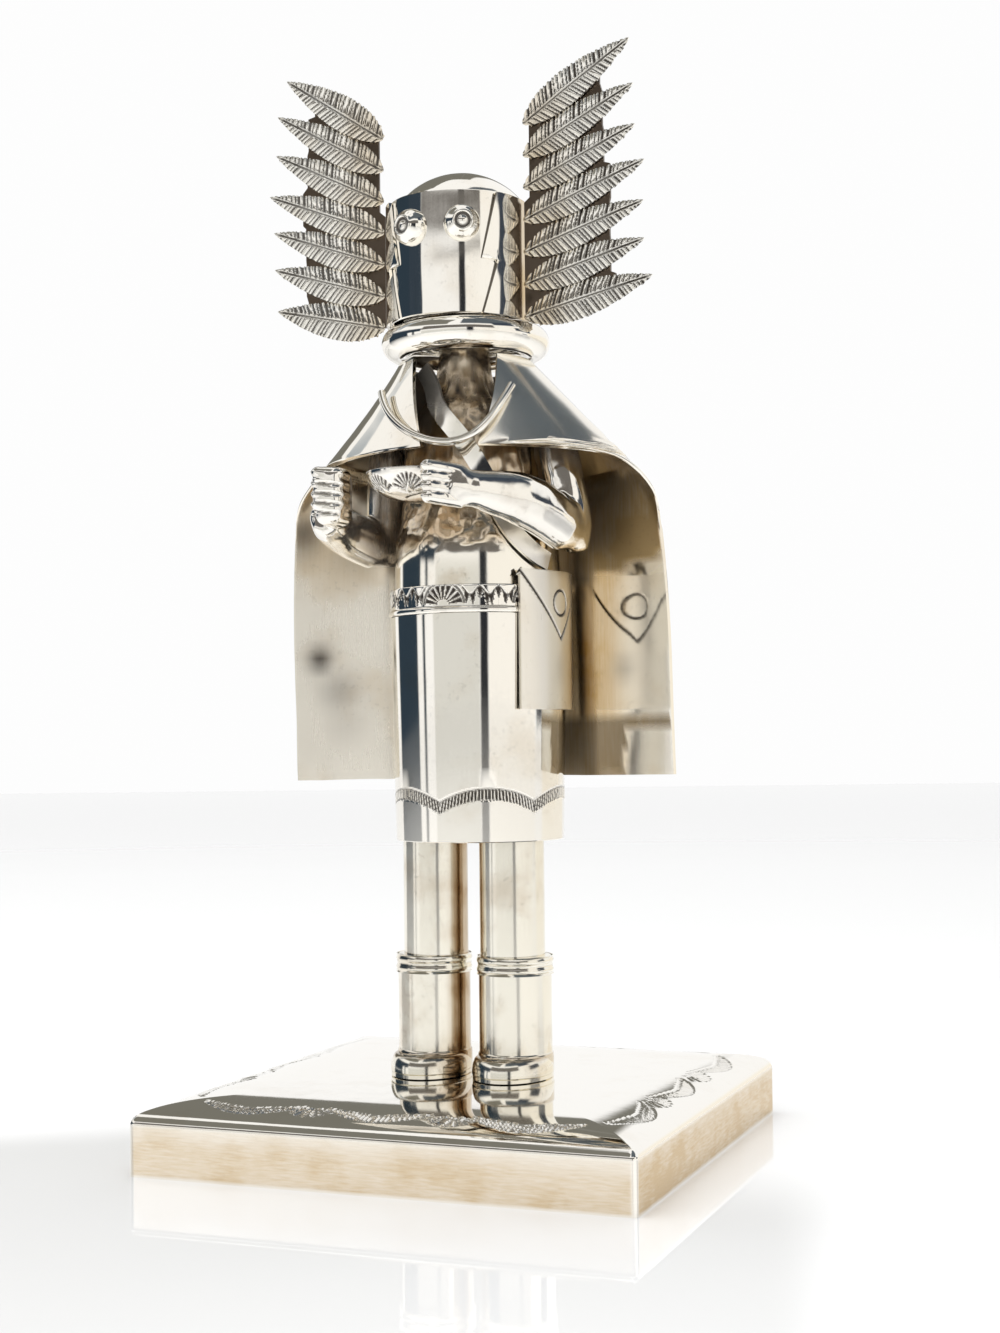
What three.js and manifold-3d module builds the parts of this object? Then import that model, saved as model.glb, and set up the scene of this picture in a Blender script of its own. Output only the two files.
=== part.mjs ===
// A standing masked figure in sheet silver, with feather fans on its head and a cape, on a square base.
// Millimetres. X runs to the figure's left, -Y to its front, Z up, from the middle of the base's underside.
// Angles are in degrees round a piece's own upright axis: 0 is the front and 90 the figure's left.
import * as THREE from 'three';
import { RoundedBoxGeometry } from 'three/addons/geometries/RoundedBoxGeometry.js';
import { mergeVertices } from 'three/addons/utils/BufferGeometryUtils.js';
import Module from 'manifold-3d';

const wasm = await Module();
wasm.setup();

const SEAM = 0.15; // solder seam between neighbours
const SIDES = { right: -1, left: 1 }; // the figure's own right and left

// Base: upright walls and a cushioned top that ends in a flat middle
const BASE_SIDE = 101.6;
const BASE_WALL = 9.8;
const BASE_CROWN = 4;
const BASE_SHOULDER = 10.8;
const BASE_TOP = BASE_WALL + BASE_CROWN;

// Boots and legs
const BOOT_APART = 9.0; // half the distance between the boots
const BOOT_BACK = 1.2;
const BOOT_RADIUS = 7.5;
const BOOT_TOP = 38.4;
const CUFF_HEIGHT = 3.7;
const CUFF_PROUD = 0.45;
const FOOT_HALF_WIDTH = 8.1;
const FOOT_HALF_LENGTH = 10.4;
const FOOT_FORWARD = 1.7;
const FOOT_HEIGHT = 4.5;
const FOOT_ROUNDING = 1.1;
const LEG_APART = 8.5;
const LEG_RADIUS = 6.7;

// Kilt and belt
const WAIST = new THREE.Vector2(1.0, 2.8); // the kilt stands a little back from the feet
const HEM_Z = 62;
const HEM_RADIUS = 17.4;
const HEM_WALL = 0.8;
const KILT_FLOOR = 65;
const KILT_RADIUS = 18.3; // just under the belt
const BELT_LOW = 108;
const BELT_TOP = 113.6;
const BELT_RADIUS = 18.3;
const BELT_BEAD = 1.2; // height of the plain bead along the belt's lower edge
const BELT_THICK = 0.6;

// Pouch, a curved plate on the left hip
const POUCH_FROM = 47.5;
const POUCH_TO = 115;
const POUCH_LOW = 88.5;
const POUCH_TOP = 116.7;
const POUCH_INNER = 18.65;
const POUCH_OUTER = 19.6;
const FLAP_POINT_Z = 102.9;
const FLAP_RING_Z = 110.2;
const FLAP_RING_RADIUS = 2.55;
const GROOVE_WIDE = 0.8;
const GROOVE_DEEP = 0.35;

// Torso rows from the waist to the neck: height, half width, half depth
const NECK = new THREE.Vector2(-0.2, -0.4);
const TORSO = [
  [BELT_TOP + SEAM, 17.4, 17.4], [121, 17.4, 17.4], [125, 16.6, 15.9], [129, 15.4, 12.9], [135, 14.6, 11],
  [146, 14.2, 10.4], [151, 10.4, 8], [154.5, 5.6, 5.6], [168, 5.2, 5.2],
];

// Shoulder strap: angle and height of its middle line on the torso, and how far it stands off
const STRAP_ROUTE = [
  [-32, 158.8, 4.4], [-8, 150.5, 2], [13, 143.2, 0.5], [30, 134.5, 0.2], [42, 126, 0.2], [58, 120.6, 0.2],
  [73, 118.5, 0.2],
];
const STRAP_WIDTH = 3.8;
const STRAP_THICK = 0.8;

// Arms, from the shoulder by the elbow to the wrist, with a hand at the end
const SHOULDER = new THREE.Vector3(18.6, 1.5, 147);
const ARM_THICK = 8.4;
const LEFT_ELBOW = new THREE.Vector3(23.4, 0.5, 124);
const LEFT_WRIST = new THREE.Vector3(10.2, -23.4, 131.6);
const LEFT_TIPS = new THREE.Vector3(3.4, -29.6, 132.7);
const RIGHT_ELBOW = new THREE.Vector3(-20.3, 3.5, 123);
const FIST = new THREE.Vector3(-20.4, -21.3, 131.7);
const FIST_HALF = new THREE.Vector3(2.6, 3.8, 5.6);
const FINGER_RADIUS = 1.15;

// Bowl between the hands
const BOWL = new THREE.Vector2(-2.7, -19.8);
const BOWL_RADIUS = 10.2;
const BOWL_RIM = 135.8;
const BOWL_DEEP = 6.1;
const BOWL_WALL = 0.8;

// Cape: a neck ring, a shoulder line in plan from the back round to the front, and a curtain behind
const CAPE_THICK = 0.9;
const CAPE_NECK = 13.2;
const CAPE_NECK_Z = 160.2;
const SHOULDER_Z = 139.6;
const SHOULDER_ROUND = 5; // drop of the round over into the curtain
const SHOULDER_LINE = [[0, 20.5], [21.5, 17.4], [33.6, 4.2], [26.6, -8.2], [12.5, -15.2], [-2, -17.8]];
// Plan of the curtain from its front edge, past the hip, to the middle of the back
const CURTAIN_PLAN = [[42.4, 5.8], [31.5, 9.9], [22, 12.6], [17.8, 16.6], [11.5, 21], [0, 23.2]];
const CURTAIN_TAPER = 0.974; // its width at the top, as a share
const CURTAIN_SWELL = 0.02; // how much it fills out below the top, as a share
const CURTAIN_LEAN = { top: 1.7, hem: 0.45 }; // how far it stands to the figure's right
const CURTAIN_SLOPE = 0.0125; // rise of the hem toward the figure's left
const CURTAIN_TOP = 127;
const CURTAIN_HEM = 74.6;
const CURTAIN_EDGE = 108; // angle of the curtain's front edge
const FLAP_CORNER = 94; // angle where that edge runs into the lower edge of the front flap
const FLAP_END = { right: 14, left: 28 }; // angle of each flap's inner edge, at its foot
const FLAP_NECK = { right: 28, left: 49 }; // and at the neck

// Wire across the chest that ties the cape
const TIE_RADIUS = 0.8;
const TIE_ROUTE = [
  [-13.6, -12.6, 153.8], [-12.1, -15.0, 150.4], [-8.8, -17.2, 146.8], [-4, -19.0, 143.4], [3.4, -20, 141],
  [8.9, -19.4, 142.3], [11.9, -17.4, 145.8], [13.7, -14.8, 149.8], [14.8, -12.2, 153.4],
];

// Collar ring and head
const RING_MIDDLE = 14.2;
const RING_THICK = 3.3;
const RING_Z = 164.8;
const HEAD = new THREE.Vector2(-0.9, -1.9);
const HEAD_TURN = 3.5; // the mask looks a little to its left
const HEAD_AXIS = new THREE.Vector2(); // pieces of the head are built round its own axis
const HEAD_RADIUS = 14.1;
const HEAD_LOW = 168.3;
const HEAD_RIM = 193.4;
const CAP_X = 1; // the dome sits a little to one side
const CAP_RADIUS = 13;
const CAP_RISE = 6.3;
const EYE_ANGLE = 23.5;
const EYE_Z = 186.4;
// Radius and height on the eye's own axis
const EYE_PROFILE = [
  [0, -2], [3.7, -2], [3.7, 0.9], [3.3, 1.9], [2.5, 2.5], [2.1, 3.1], [1.6, 3.1], [1.5, 2.5], [0, 2.9],
];
const SIDE_PLATE_THICK = 0.65;
const SIDE_PLATE_BACK = 105;
// Height and angle of the plate's stepped front edge
const SIDE_PLATE_FRONT = [[HEAD_LOW, 39.3], [179.3, 53], [179.5, 38.6], [193.1, 51.8]];

// Feather fans
const FEATHERS = 7;
const FAN_Y = -1; // front of the backing plates at the head
const FAN_SWEEP = 4.2; // degrees that the fans turn forward
const FAN_SHEET = 0.8;
const FEATHER_ROOT = { x: 16.5, z: 168.9, step: 6.72 };
// Tips across and up the fan, from the lowest; the two fans differ as bent by hand
const FEATHER_TIPS = {
  right: [
    [39, 173.6], [39.6, 182.5], [39.7, 190.4], [40.6, 198.2], [39.1, 206.9], [38.7, 215.2], [36.6, 222.7],
  ],
  left: [
    [42.7, 174.8], [41.1, 182.3], [41, 190], [41.3, 198.2], [39.4, 205.6], [39.1, 213.9], [38.4, 223.2],
  ],
};
const FEATHER_WIDTH = 7.4;
const FEATHER_SHEET = 0.55;
const FEATHER_RIDGE = 0.45;
const FEATHER_WIDEST = 0.42; // share of the length, from the root
const PLATE_AT_HEAD = 15.3; // inner edge beside the drum
const PLATE_ABOVE = 16.5; // and above its rim
const PLATE_REACH = 0.7; // share of the feathers' length that the backing plate covers

const ROUND = 32; // sides of the large tubes
const ROUND_LEG = 24; // and of the legs and boots
const { degToRad, lerp, clamp } = THREE.MathUtils;

const figure = new THREE.Group();

// Finishes, one new material for each piece
const polished = () => new THREE.MeshStandardMaterial({ color: 0xd9d4c9, roughness: 0.12, metalness: 1 });
const satin = () => new THREE.MeshStandardMaterial({ color: 0xcbb9a2, roughness: 0.35, metalness: 1 });
const tarnished = () => new THREE.MeshStandardMaterial({ color: 0xb9a688, roughness: 0.25, metalness: 1 });
const oxidised = () => new THREE.MeshStandardMaterial({ color: 0x5a4a3c, roughness: 0.5, metalness: 1 });

const head = new THREE.Group();
head.position.set(HEAD.x, HEAD.y, 0);
head.rotation.z = degToRad(HEAD_TURN);
figure.add(head);

function addPiece(name, geometry, material, parent = figure) {
  const mesh = new THREE.Mesh(geometry, material);
  mesh.name = name;
  parent.add(mesh);
}

// Shared vertices only, so that the surface is closed
function welded(geometry) {
  geometry.deleteAttribute('normal');
  geometry.deleteAttribute('uv');
  return mergeVertices(geometry, 1e-4);
}

function toSolid(geometry) {
  const mesh = welded(geometry.clone());
  const triVerts = new Uint32Array(mesh.index.array);
  const vertProperties = mesh.attributes.position.array;
  return new wasm.Manifold(new wasm.Mesh({ numProp: 3, vertProperties, triVerts }));
}

function toGeometry(solid) {
  const mesh = solid.getMesh();
  const geometry = new THREE.BufferGeometry();
  geometry.setAttribute('position', new THREE.BufferAttribute(mesh.vertProperties, 3));
  geometry.setIndex(new THREE.BufferAttribute(mesh.triVerts, 1));
  return geometry;
}

const join = (...geometries) => toGeometry(geometries.map(toSolid).reduce((all, next) => all.add(next)));
const cut = (geometry, ...tools) =>
  toGeometry(tools.map(toSolid).reduce((rest, tool) => rest.subtract(tool), toSolid(geometry)));

// Turns a surface that came out inside out, such as a mirrored one
function facingOut(geometry) {
  const mesh = welded(geometry);
  const at = mesh.attributes.position;
  const index = mesh.index.array;
  const corner = [0, 1, 2].map(() => new THREE.Vector3());
  let volume = 0;
  for (let i = 0; i < index.length; i += 3) {
    corner.forEach((c, k) => c.fromBufferAttribute(at, index[i + k]));
    volume += corner[0].dot(corner[1].clone().cross(corner[2]));
  }
  if (volume < 0) {
    for (let i = 0; i < index.length; i += 3) [index[i], index[i + 1]] = [index[i + 1], index[i]];
  }
  return mesh;
}

function reshaped(geometry, place) {
  const at = geometry.attributes.position;
  for (let i = 0; i < at.count; i++) {
    const p = place(at.getX(i), at.getY(i), at.getZ(i));
    at.setXYZ(i, p.x, p.y, p.z);
  }
  return facingOut(geometry);
}

// A sheet cut flat and then bent: place takes u, v along the sheet and w through it, all from 0 to 1
function bentSheet(cutsU, cutsV, place) {
  const flat = new THREE.BoxGeometry(1, 1, 1, cutsU, cutsV, 1);
  return reshaped(flat, (x, y, z) => place(x + 0.5, y + 0.5, z + 0.5));
}

// A closed bar: place takes a point of the unit disc and t, the way along the bar from 0 to 1
function skinnedBar(sides, steps, place) {
  const bar = new THREE.CylinderGeometry(1, 1, 1, sides, steps).rotateX(Math.PI / 2);
  return reshaped(bar, (x, y, z) => place(x, y, z + 0.5));
}

function turned(profile, sides, centre = new THREE.Vector2()) {
  const points = profile.map(([radius, height]) => new THREE.Vector2(radius, height));
  const body = new THREE.LatheGeometry(points, sides).rotateX(Math.PI / 2);
  return facingOut(body.translate(centre.x, centre.y, 0));
}

function tube(radius, low, high, x, y, sides = ROUND) {
  const body = new THREE.CylinderGeometry(radius, radius, high - low, sides).rotateX(Math.PI / 2);
  return body.translate(x, y, (low + high) / 2);
}

function polar(centre, radius, degrees, z) {
  const angle = degToRad(degrees);
  return new THREE.Vector3(centre.x + radius * Math.sin(angle), centre.y - radius * Math.cos(angle), z);
}

// The values between two rows of a table whose first column rises
function rowAt(rows, key) {
  const next = clamp(rows.findIndex((row) => row[0] >= key), 1, rows.length - 1);
  const [low, high] = [rows[next - 1], rows[next]];
  const share = clamp((key - low[0]) / (high[0] - low[0]), 0, 1);
  return low.map((value, k) => lerp(value, high[k], share));
}

function baseGeometry() {
  const half = BASE_SIDE / 2 - BASE_SHOULDER;
  const corners = [[-half, -half], [half, -half], [half, half], [-half, half]];
  const square = new THREE.Shape(corners.map((p) => new THREE.Vector2(...p)));
  const cushion = new THREE.ExtrudeGeometry(square, {
    depth: BASE_WALL, bevelThickness: BASE_CROWN, bevelSize: BASE_SHOULDER, bevelSegments: 6,
  });
  const below = new THREE.BoxGeometry(BASE_SIDE * 2, BASE_SIDE * 2, BASE_CROWN * 2);
  below.translate(0, 0, -BASE_CROWN);
  return cut(cushion, below);
}

function bootGeometry(side) {
  const edge = FOOT_ROUNDING;
  const sole = new THREE.Shape();
  sole.absellipse(0, 0, FOOT_HALF_WIDTH - edge, FOOT_HALF_LENGTH - edge, 0, Math.PI * 2);
  const depth = FOOT_HEIGHT - 2 * edge;
  const foot = new THREE.ExtrudeGeometry(sole, {
    depth, bevelThickness: edge, bevelSize: edge, bevelSegments: 2, curveSegments: 8,
  });
  foot.translate(side * BOOT_APART, BOOT_BACK - FOOT_FORWARD, BASE_TOP + edge);
  const shaft = tube(BOOT_RADIUS, BASE_TOP + edge, BOOT_TOP, side * BOOT_APART, BOOT_BACK, ROUND_LEG);
  return join(foot, shaft);
}

function cuffGeometry(side) {
  const inner = BOOT_RADIUS + SEAM;
  const outer = BOOT_RADIUS + CUFF_PROUD;
  const low = BOOT_TOP - CUFF_HEIGHT;
  const ring = [[inner, low], [outer, low], [outer, BOOT_TOP], [inner, BOOT_TOP], [inner, low]];
  return turned(ring, ROUND_LEG, new THREE.Vector2(side * BOOT_APART, BOOT_BACK));
}

function kiltGeometry() {
  const under = BELT_RADIUS - BELT_THICK;
  const inner = HEM_RADIUS - HEM_WALL;
  return turned([
    [0, KILT_FLOOR], [inner, KILT_FLOOR], [inner, HEM_Z], [HEM_RADIUS, HEM_Z], [KILT_RADIUS, BELT_LOW - SEAM],
    [under, BELT_LOW - SEAM], [under, BELT_TOP], [0, BELT_TOP],
  ], ROUND, WAIST);
}

function beltGeometry() {
  const inner = BELT_RADIUS - BELT_THICK + SEAM;
  const bead = BELT_RADIUS + 0.25;
  const beadTop = BELT_LOW + BELT_BEAD;
  return turned([
    [inner, BELT_LOW], [bead, BELT_LOW], [bead, beadTop], [BELT_RADIUS, beadTop], [BELT_RADIUS, BELT_TOP],
    [inner, BELT_TOP], [inner, BELT_LOW],
  ], ROUND, WAIST);
}

// The pouch's flap is a groove in the shape of a V, with a round groove for its button
function pouchGeometry() {
  const plate = bentSheet(10, 1, (u, v, w) => {
    const radius = lerp(POUCH_INNER, POUCH_OUTER, w);
    return polar(WAIST, radius, lerp(POUCH_FROM, POUCH_TO, u), lerp(POUCH_LOW, POUCH_TOP, v));
  });
  const floor = POUCH_OUTER - GROOVE_DEEP;
  const groove = (fromAngle, fromZ, toAngle, toZ) => bentSheet(5, 1, (u, v, w) => {
    const z = lerp(fromZ, toZ, u) + (v - 0.5) * GROOVE_WIDE;
    return polar(WAIST, lerp(floor, POUCH_OUTER + 1, w), lerp(fromAngle, toAngle, u), z);
  });
  const middle = (POUCH_FROM + POUCH_TO) / 2;
  const button = new THREE.TorusGeometry(FLAP_RING_RADIUS, GROOVE_DEEP, 5, 16).rotateX(Math.PI / 2);
  button.rotateZ(degToRad(middle));
  const place = polar(WAIST, POUCH_OUTER, middle, FLAP_RING_Z);
  button.translate(place.x, place.y, place.z);
  const over = 1; // how far the grooves run past the plate and past each other
  return cut(
    plate,
    groove(POUCH_FROM - over, POUCH_TOP, middle + over / 2, FLAP_POINT_Z),
    groove(middle - over / 2, FLAP_POINT_Z, POUCH_TO + over, POUCH_TOP),
    button,
  );
}

// The torso leans from the middle of the kilt to the middle of the neck
function torsoPoint(angle, z, proud = 0) {
  const [, halfWidth, halfDepth] = rowAt(TORSO, z);
  const lean = clamp((z - TORSO[1][0]) / (TORSO[6][0] - TORSO[1][0]), 0, 1);
  const centre = WAIST.clone().lerp(NECK, lean);
  const turn = degToRad(angle);
  return new THREE.Vector3(
    centre.x + (halfWidth + proud) * Math.sin(turn), centre.y - (halfDepth + proud) * Math.cos(turn), z);
}

function torsoGeometry(proud = 0) {
  const rows = TORSO.length - 1;
  return skinnedBar(24, rows, (x, y, t) => {
    const z = TORSO[Math.round(t * rows)][0];
    const reach = Math.hypot(x, y);
    const skin = torsoPoint(THREE.MathUtils.radToDeg(Math.atan2(x, -y)), z, proud);
    const centre = torsoPoint(0, z).lerp(torsoPoint(180, z), 0.5);
    return centre.lerp(skin, reach);
  });
}

function strapGeometry() {
  const route = new THREE.CatmullRomCurve3(STRAP_ROUTE.map((p) => new THREE.Vector3(...p)));
  const onTorso = (u) => {
    const { x: angle, y: height, z: proud } = route.getPoint(clamp(u, 0, 1));
    return { angle, point: torsoPoint(angle, height, proud + SEAM) };
  };
  return bentSheet(20, 1, (u, v, w) => {
    const { angle, point } = onTorso(u);
    const along = onTorso(u + 0.02).point.sub(onTorso(u - 0.02).point).normalize();
    const outward = polar(new THREE.Vector2(), 1, angle, 0);
    const across = outward.clone().cross(along).normalize();
    const lift = along.clone().cross(across);
    point.addScaledVector(across, (v - 0.5) * STRAP_WIDTH);
    return point.addScaledVector(lift, SEAM + w * STRAP_THICK);
  });
}

// A bar along a smooth line: sizes gives its width and height on the way, upward the side of its height
function limb(points, sizes, upward, sides, steps) {
  const line = new THREE.CatmullRomCurve3(points);
  return skinnedBar(sides, steps, (x, y, t) => {
    const along = line.getTangent(t);
    const across = upward.clone().cross(along).normalize();
    const up = along.clone().cross(across);
    const [, width, height] = rowAt(sizes, t);
    return line.getPoint(t).addScaledVector(across, x * width / 2).addScaledVector(up, y * height / 2);
  });
}

function rod(from, to, radius) {
  const along = to.clone().sub(from);
  const body = new THREE.CapsuleGeometry(radius, along.length(), 1, 6, 1);
  const turn = new THREE.Quaternion().setFromUnitVectors(new THREE.Vector3(0, 1, 0), along.normalize());
  body.applyQuaternion(turn);
  const middle = from.clone().lerp(to, 0.5);
  return body.translate(middle.x, middle.y, middle.z);
}

function upperArm(side, elbow) {
  const top = new THREE.Vector3(side * SHOULDER.x, SHOULDER.y, SHOULDER.z);
  const point = elbow.clone().add(new THREE.Vector3(0, 0.8, -3.2));
  const thick = ARM_THICK;
  const sizes = [[0, 4, 4], [0.12, thick * 0.9, thick], [0.8, thick, thick * 1.1], [1, 4.4, 5]];
  return limb([top, top.clone().lerp(elbow, 0.55), point], sizes, new THREE.Vector3(0, 1, 0), 10, 6);
}

// Way along a forearm, its width and its height
const LEFT_FOREARM = [[0, 5, 6], [0.15, 7.4, 11.6], [0.55, 6.4, 11.2], [0.85, 5, 8.6], [1, 4.2, 7]];
const RIGHT_FOREARM = [[0, 6, 6], [0.15, 8.4, 10.6], [0.55, 8.4, 10.4], [0.85, 8, 9.6], [1, 6.6, 8]];
const UP = new THREE.Vector3(0, 0, 1);

// The left hand lays four straight fingers along the front of the bowl
function leftArm() {
  const bend = LEFT_ELBOW.clone().lerp(LEFT_WRIST, 0.5).add(new THREE.Vector3(1.6, -1.4, 1.7));
  const forearm = limb([LEFT_ELBOW, bend, LEFT_WRIST], LEFT_FOREARM, UP, 8, 7);
  const palmLine = [
    LEFT_WRIST.clone().lerp(LEFT_ELBOW, 0.1), LEFT_WRIST, LEFT_WRIST.clone().lerp(LEFT_TIPS, 0.5),
  ];
  const palm = limb(palmLine, [[0, 3.4, 6], [0.4, 4, 7.6], [1, 2.6, 7]], UP, 8, 3);
  const fingers = [-1.5, -0.5, 0.5, 1.5].map((place) => {
    const drop = new THREE.Vector3(0, 0, place * FINGER_RADIUS * 1.75);
    const knuckle = LEFT_WRIST.clone().lerp(LEFT_TIPS, 0.2).add(drop);
    return rod(knuckle, LEFT_TIPS.clone().add(drop), FINGER_RADIUS);
  });
  return join(upperArm(SIDES.left, LEFT_ELBOW), forearm, palm, ...fingers);
}

// The right hand is a fist with its fingers folded one above the other
function rightArm() {
  const heel = FIST.clone().add(new THREE.Vector3(-2.6, 1.6, -3.3));
  const bend = RIGHT_ELBOW.clone().lerp(heel, 0.5).add(new THREE.Vector3(-3, 0, 0.6));
  const forearm = limb([RIGHT_ELBOW, bend, heel], RIGHT_FOREARM, UP, 8, 7);
  const palm = new RoundedBoxGeometry(2 * FIST_HALF.x, 2 * FIST_HALF.y, 2 * FIST_HALF.z, 1, 1.4);
  palm.translate(FIST.x, FIST.y, FIST.z);
  const fingers = [0, 1, 2, 3].flatMap((row) => {
    const z = FIST.z + FIST_HALF.z - FINGER_RADIUS - row * FINGER_RADIUS * 1.85;
    const front = FIST.y - FIST_HALF.y + 0.6;
    const knuckle = new THREE.Vector3(FIST.x + FIST_HALF.x - 0.6, front + 0.7, z);
    const outer = new THREE.Vector3(FIST.x - FIST_HALF.x, front, z + 0.3);
    const tip = new THREE.Vector3(FIST.x + FIST_HALF.x - 0.4, FIST.y + 1, z - 0.2);
    return [rod(outer, knuckle, FINGER_RADIUS), rod(knuckle, tip, FINGER_RADIUS)];
  });
  return join(upperArm(SIDES.right, RIGHT_ELBOW), forearm, palm, ...fingers);
}

// The bowl's section is an arc inside and out, thick enough at the rim to show a flat lip
function bowlGeometry(grow = 0) {
  const steps = 5;
  const arc = (radius, deep, count) => Array.from({ length: count + 1 }, (_, k) => {
    const turn = (k / count) * Math.PI / 2;
    return [radius * Math.sin(turn), BOWL_RIM - deep * Math.cos(turn)];
  });
  const outside = arc(BOWL_RADIUS + grow, BOWL_DEEP + grow, steps);
  if (grow) return turned([...outside, [0, BOWL_RIM]], ROUND, BOWL);
  const inside = arc(BOWL_RADIUS - BOWL_WALL, BOWL_DEEP - BOWL_WALL, steps);
  return turned([...outside, ...inside.reverse()], 24, BOWL);
}

const CAPE_ROWS = 13;
const shoulderLine = new THREE.SplineCurve(SHOULDER_LINE.map((p) => new THREE.Vector2(...p)));

const curtainLine = new THREE.SplineCurve(CURTAIN_PLAN.map((p) => new THREE.Vector2(...p)));

// A point of the cape by its angle and its drop: 0 at the neck, 1 on the shoulder line, 1.25 at the top of
// the curtain and 2 at its hem
function capePoint(angle, drop) {
  const turn = degToRad(angle);
  const neck = new THREE.Vector3(CAPE_NECK * Math.sin(turn), -CAPE_NECK * Math.cos(turn), CAPE_NECK_Z);
  const edge = shoulderLine.getPoint(1 - angle / 180);
  const shoulder = new THREE.Vector3(edge.x, edge.y, SHOULDER_Z + 1.6 * Math.cos(turn));
  if (drop <= 1) return neck.lerp(shoulder, drop);
  const up = clamp((2 - drop) / 0.75, 0, 1);
  const swing = (angle - CURTAIN_EDGE) / (180 - CURTAIN_EDGE);
  const plan = curtainLine.getPoint(Math.max(swing, 0));
  const forward = Math.min(swing, 0) * 25; // the shoulder runs on in front of the curtain
  const width = lerp(1, CURTAIN_TAPER, up) + CURTAIN_SWELL * Math.sin(Math.PI * up * up);
  const fall = new THREE.Vector3(plan.x * width, plan.y + forward, lerp(CURTAIN_HEM, CURTAIN_TOP, up));
  if (drop >= 1.25) return fall;
  const crest = new THREE.Vector3(fall.x, fall.y, SHOULDER_Z - SHOULDER_ROUND);
  return new THREE.QuadraticBezierCurve3(shoulder, crest, fall).getPoint((drop - 1) / 0.25);
}

// The curtain's lean grows from the hem to its top, and dies out again over the shoulder
function capeLean(drop) {
  if (drop < 1.25) return CURTAIN_LEAN.top * clamp((drop - 1) / 0.25, 0, 1);
  return lerp(CURTAIN_LEAN.top, CURTAIN_LEAN.hem, (drop - 1.25) / 0.75);
}

// Rows of the cape from hem to neck: way up the sheet, angle and drop at the front edge, drop at the back
function capeRows(side) {
  return [
    [0, CURTAIN_EDGE, 2, 2], [3, CURTAIN_EDGE, 1.25, 1.25], [6, FLAP_CORNER, 1, 1],
    [10, FLAP_END[side], 1, 0.65], [CAPE_ROWS, FLAP_NECK[side], 0, 0],
  ];
}

function capeSurface(u, v) {
  const half = Math.abs(2 * u - 1);
  const side = u < 0.5 ? 'right' : 'left';
  const [, angle, dropFront, dropBack] = rowAt(capeRows(side), v * CAPE_ROWS);
  const drop = lerp(dropBack, dropFront, half);
  const point = capePoint(lerp(180, angle, half), drop);
  point.x = SIDES[side] * point.x - capeLean(drop);
  point.z += CURTAIN_SLOPE * point.x * clamp((drop - 1.25) / 0.75, 0, 1);
  return point;
}

function capeGeometry() {
  const step = 1e-3;
  return bentSheet(22, CAPE_ROWS, (u, v, w) => {
    const across = capeSurface(Math.min(u + step, 1), v).sub(capeSurface(Math.max(u - step, 0), v));
    const up = capeSurface(u, Math.min(v + step, 1)).sub(capeSurface(u, Math.max(v - step, 0)));
    const inward = up.cross(across).normalize();
    return capeSurface(u, v).addScaledVector(inward, w * CAPE_THICK);
  });
}

function tieGeometry() {
  const line = new THREE.CatmullRomCurve3(TIE_ROUTE.map((p) => new THREE.Vector3(...p)));
  const section = new THREE.Shape().absarc(0, 0, TIE_RADIUS, 0, Math.PI * 2);
  return facingOut(new THREE.ExtrudeGeometry(section, { steps: 18, extrudePath: line, curveSegments: 4 }));
}

function capGeometry() {
  const low = HEAD_RIM + SEAM;
  const ball = (CAP_RADIUS ** 2 + CAP_RISE ** 2) / (2 * CAP_RISE);
  const sweep = Math.asin(CAP_RADIUS / ball);
  const steps = 5;
  const arc = Array.from({ length: steps + 1 }, (_, k) => {
    const turn = sweep * (1 - k / steps);
    return [ball * Math.sin(turn), low + CAP_RISE - ball * (1 - Math.cos(turn))];
  });
  arc[steps][0] = 0;
  return turned([[0, low], ...arc], ROUND, new THREE.Vector2(CAP_X, 0));
}

// An eye is turned on its own axis, which points straight out of the mask, and sits on the drum
function eyeGeometry(side) {
  const boss = turned(EYE_PROFILE, 16).rotateX(Math.PI / 2).rotateZ(degToRad(side * EYE_ANGLE));
  const place = polar(HEAD_AXIS, HEAD_RADIUS, side * EYE_ANGLE, EYE_Z);
  boss.translate(place.x, place.y, place.z);
  return cut(boss, tube(HEAD_RADIUS + SEAM, HEAD_LOW, HEAD_RIM, 0, 0, 2 * ROUND));
}

function sidePlateGeometry(side) {
  const rows = SIDE_PLATE_FRONT.length - 1;
  return bentSheet(7, rows, (u, v, w) => {
    const [z, front] = SIDE_PLATE_FRONT[Math.round(v * rows)];
    const radius = HEAD_RADIUS + SEAM + w * SIDE_PLATE_THICK;
    return polar(HEAD_AXIS, radius, side * lerp(front, SIDE_PLATE_BACK, u), z);
  });
}

// Root and tip of a feather in the plane of its fan, counted from the lowest
function featherLine(name, count) {
  const root = new THREE.Vector2(FEATHER_ROOT.x, FEATHER_ROOT.z + count * FEATHER_ROOT.step);
  const tip = new THREE.Vector2(...FEATHER_TIPS[name][count]);
  return { root, tip, middle: root.clone().lerp(tip, FEATHER_WIDEST), along: tip.clone().sub(root) };
}

// Half the width of a feather at its widest, on the side of a neighbour that it must clear
function featherRoom(name, count, neighbour) {
  const widest = FEATHER_WIDTH / 2;
  if (neighbour < 0 || neighbour === FEATHERS) return widest;
  const feather = featherLine(name, count);
  const apart = featherLine(name, neighbour).middle.sub(feather.middle);
  return Math.min(widest, Math.abs(feather.along.normalize().cross(apart)) / 2 - SEAM);
}

// How much of that width a feather has on its way from root to tip
function featherShare(way) {
  const share = way < FEATHER_WIDEST ? way / FEATHER_WIDEST : (1 - way) / (1 - FEATHER_WIDEST);
  return 0.04 + 0.96 * Math.sin(share * Math.PI / 2) ** 1.15;
}

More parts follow.
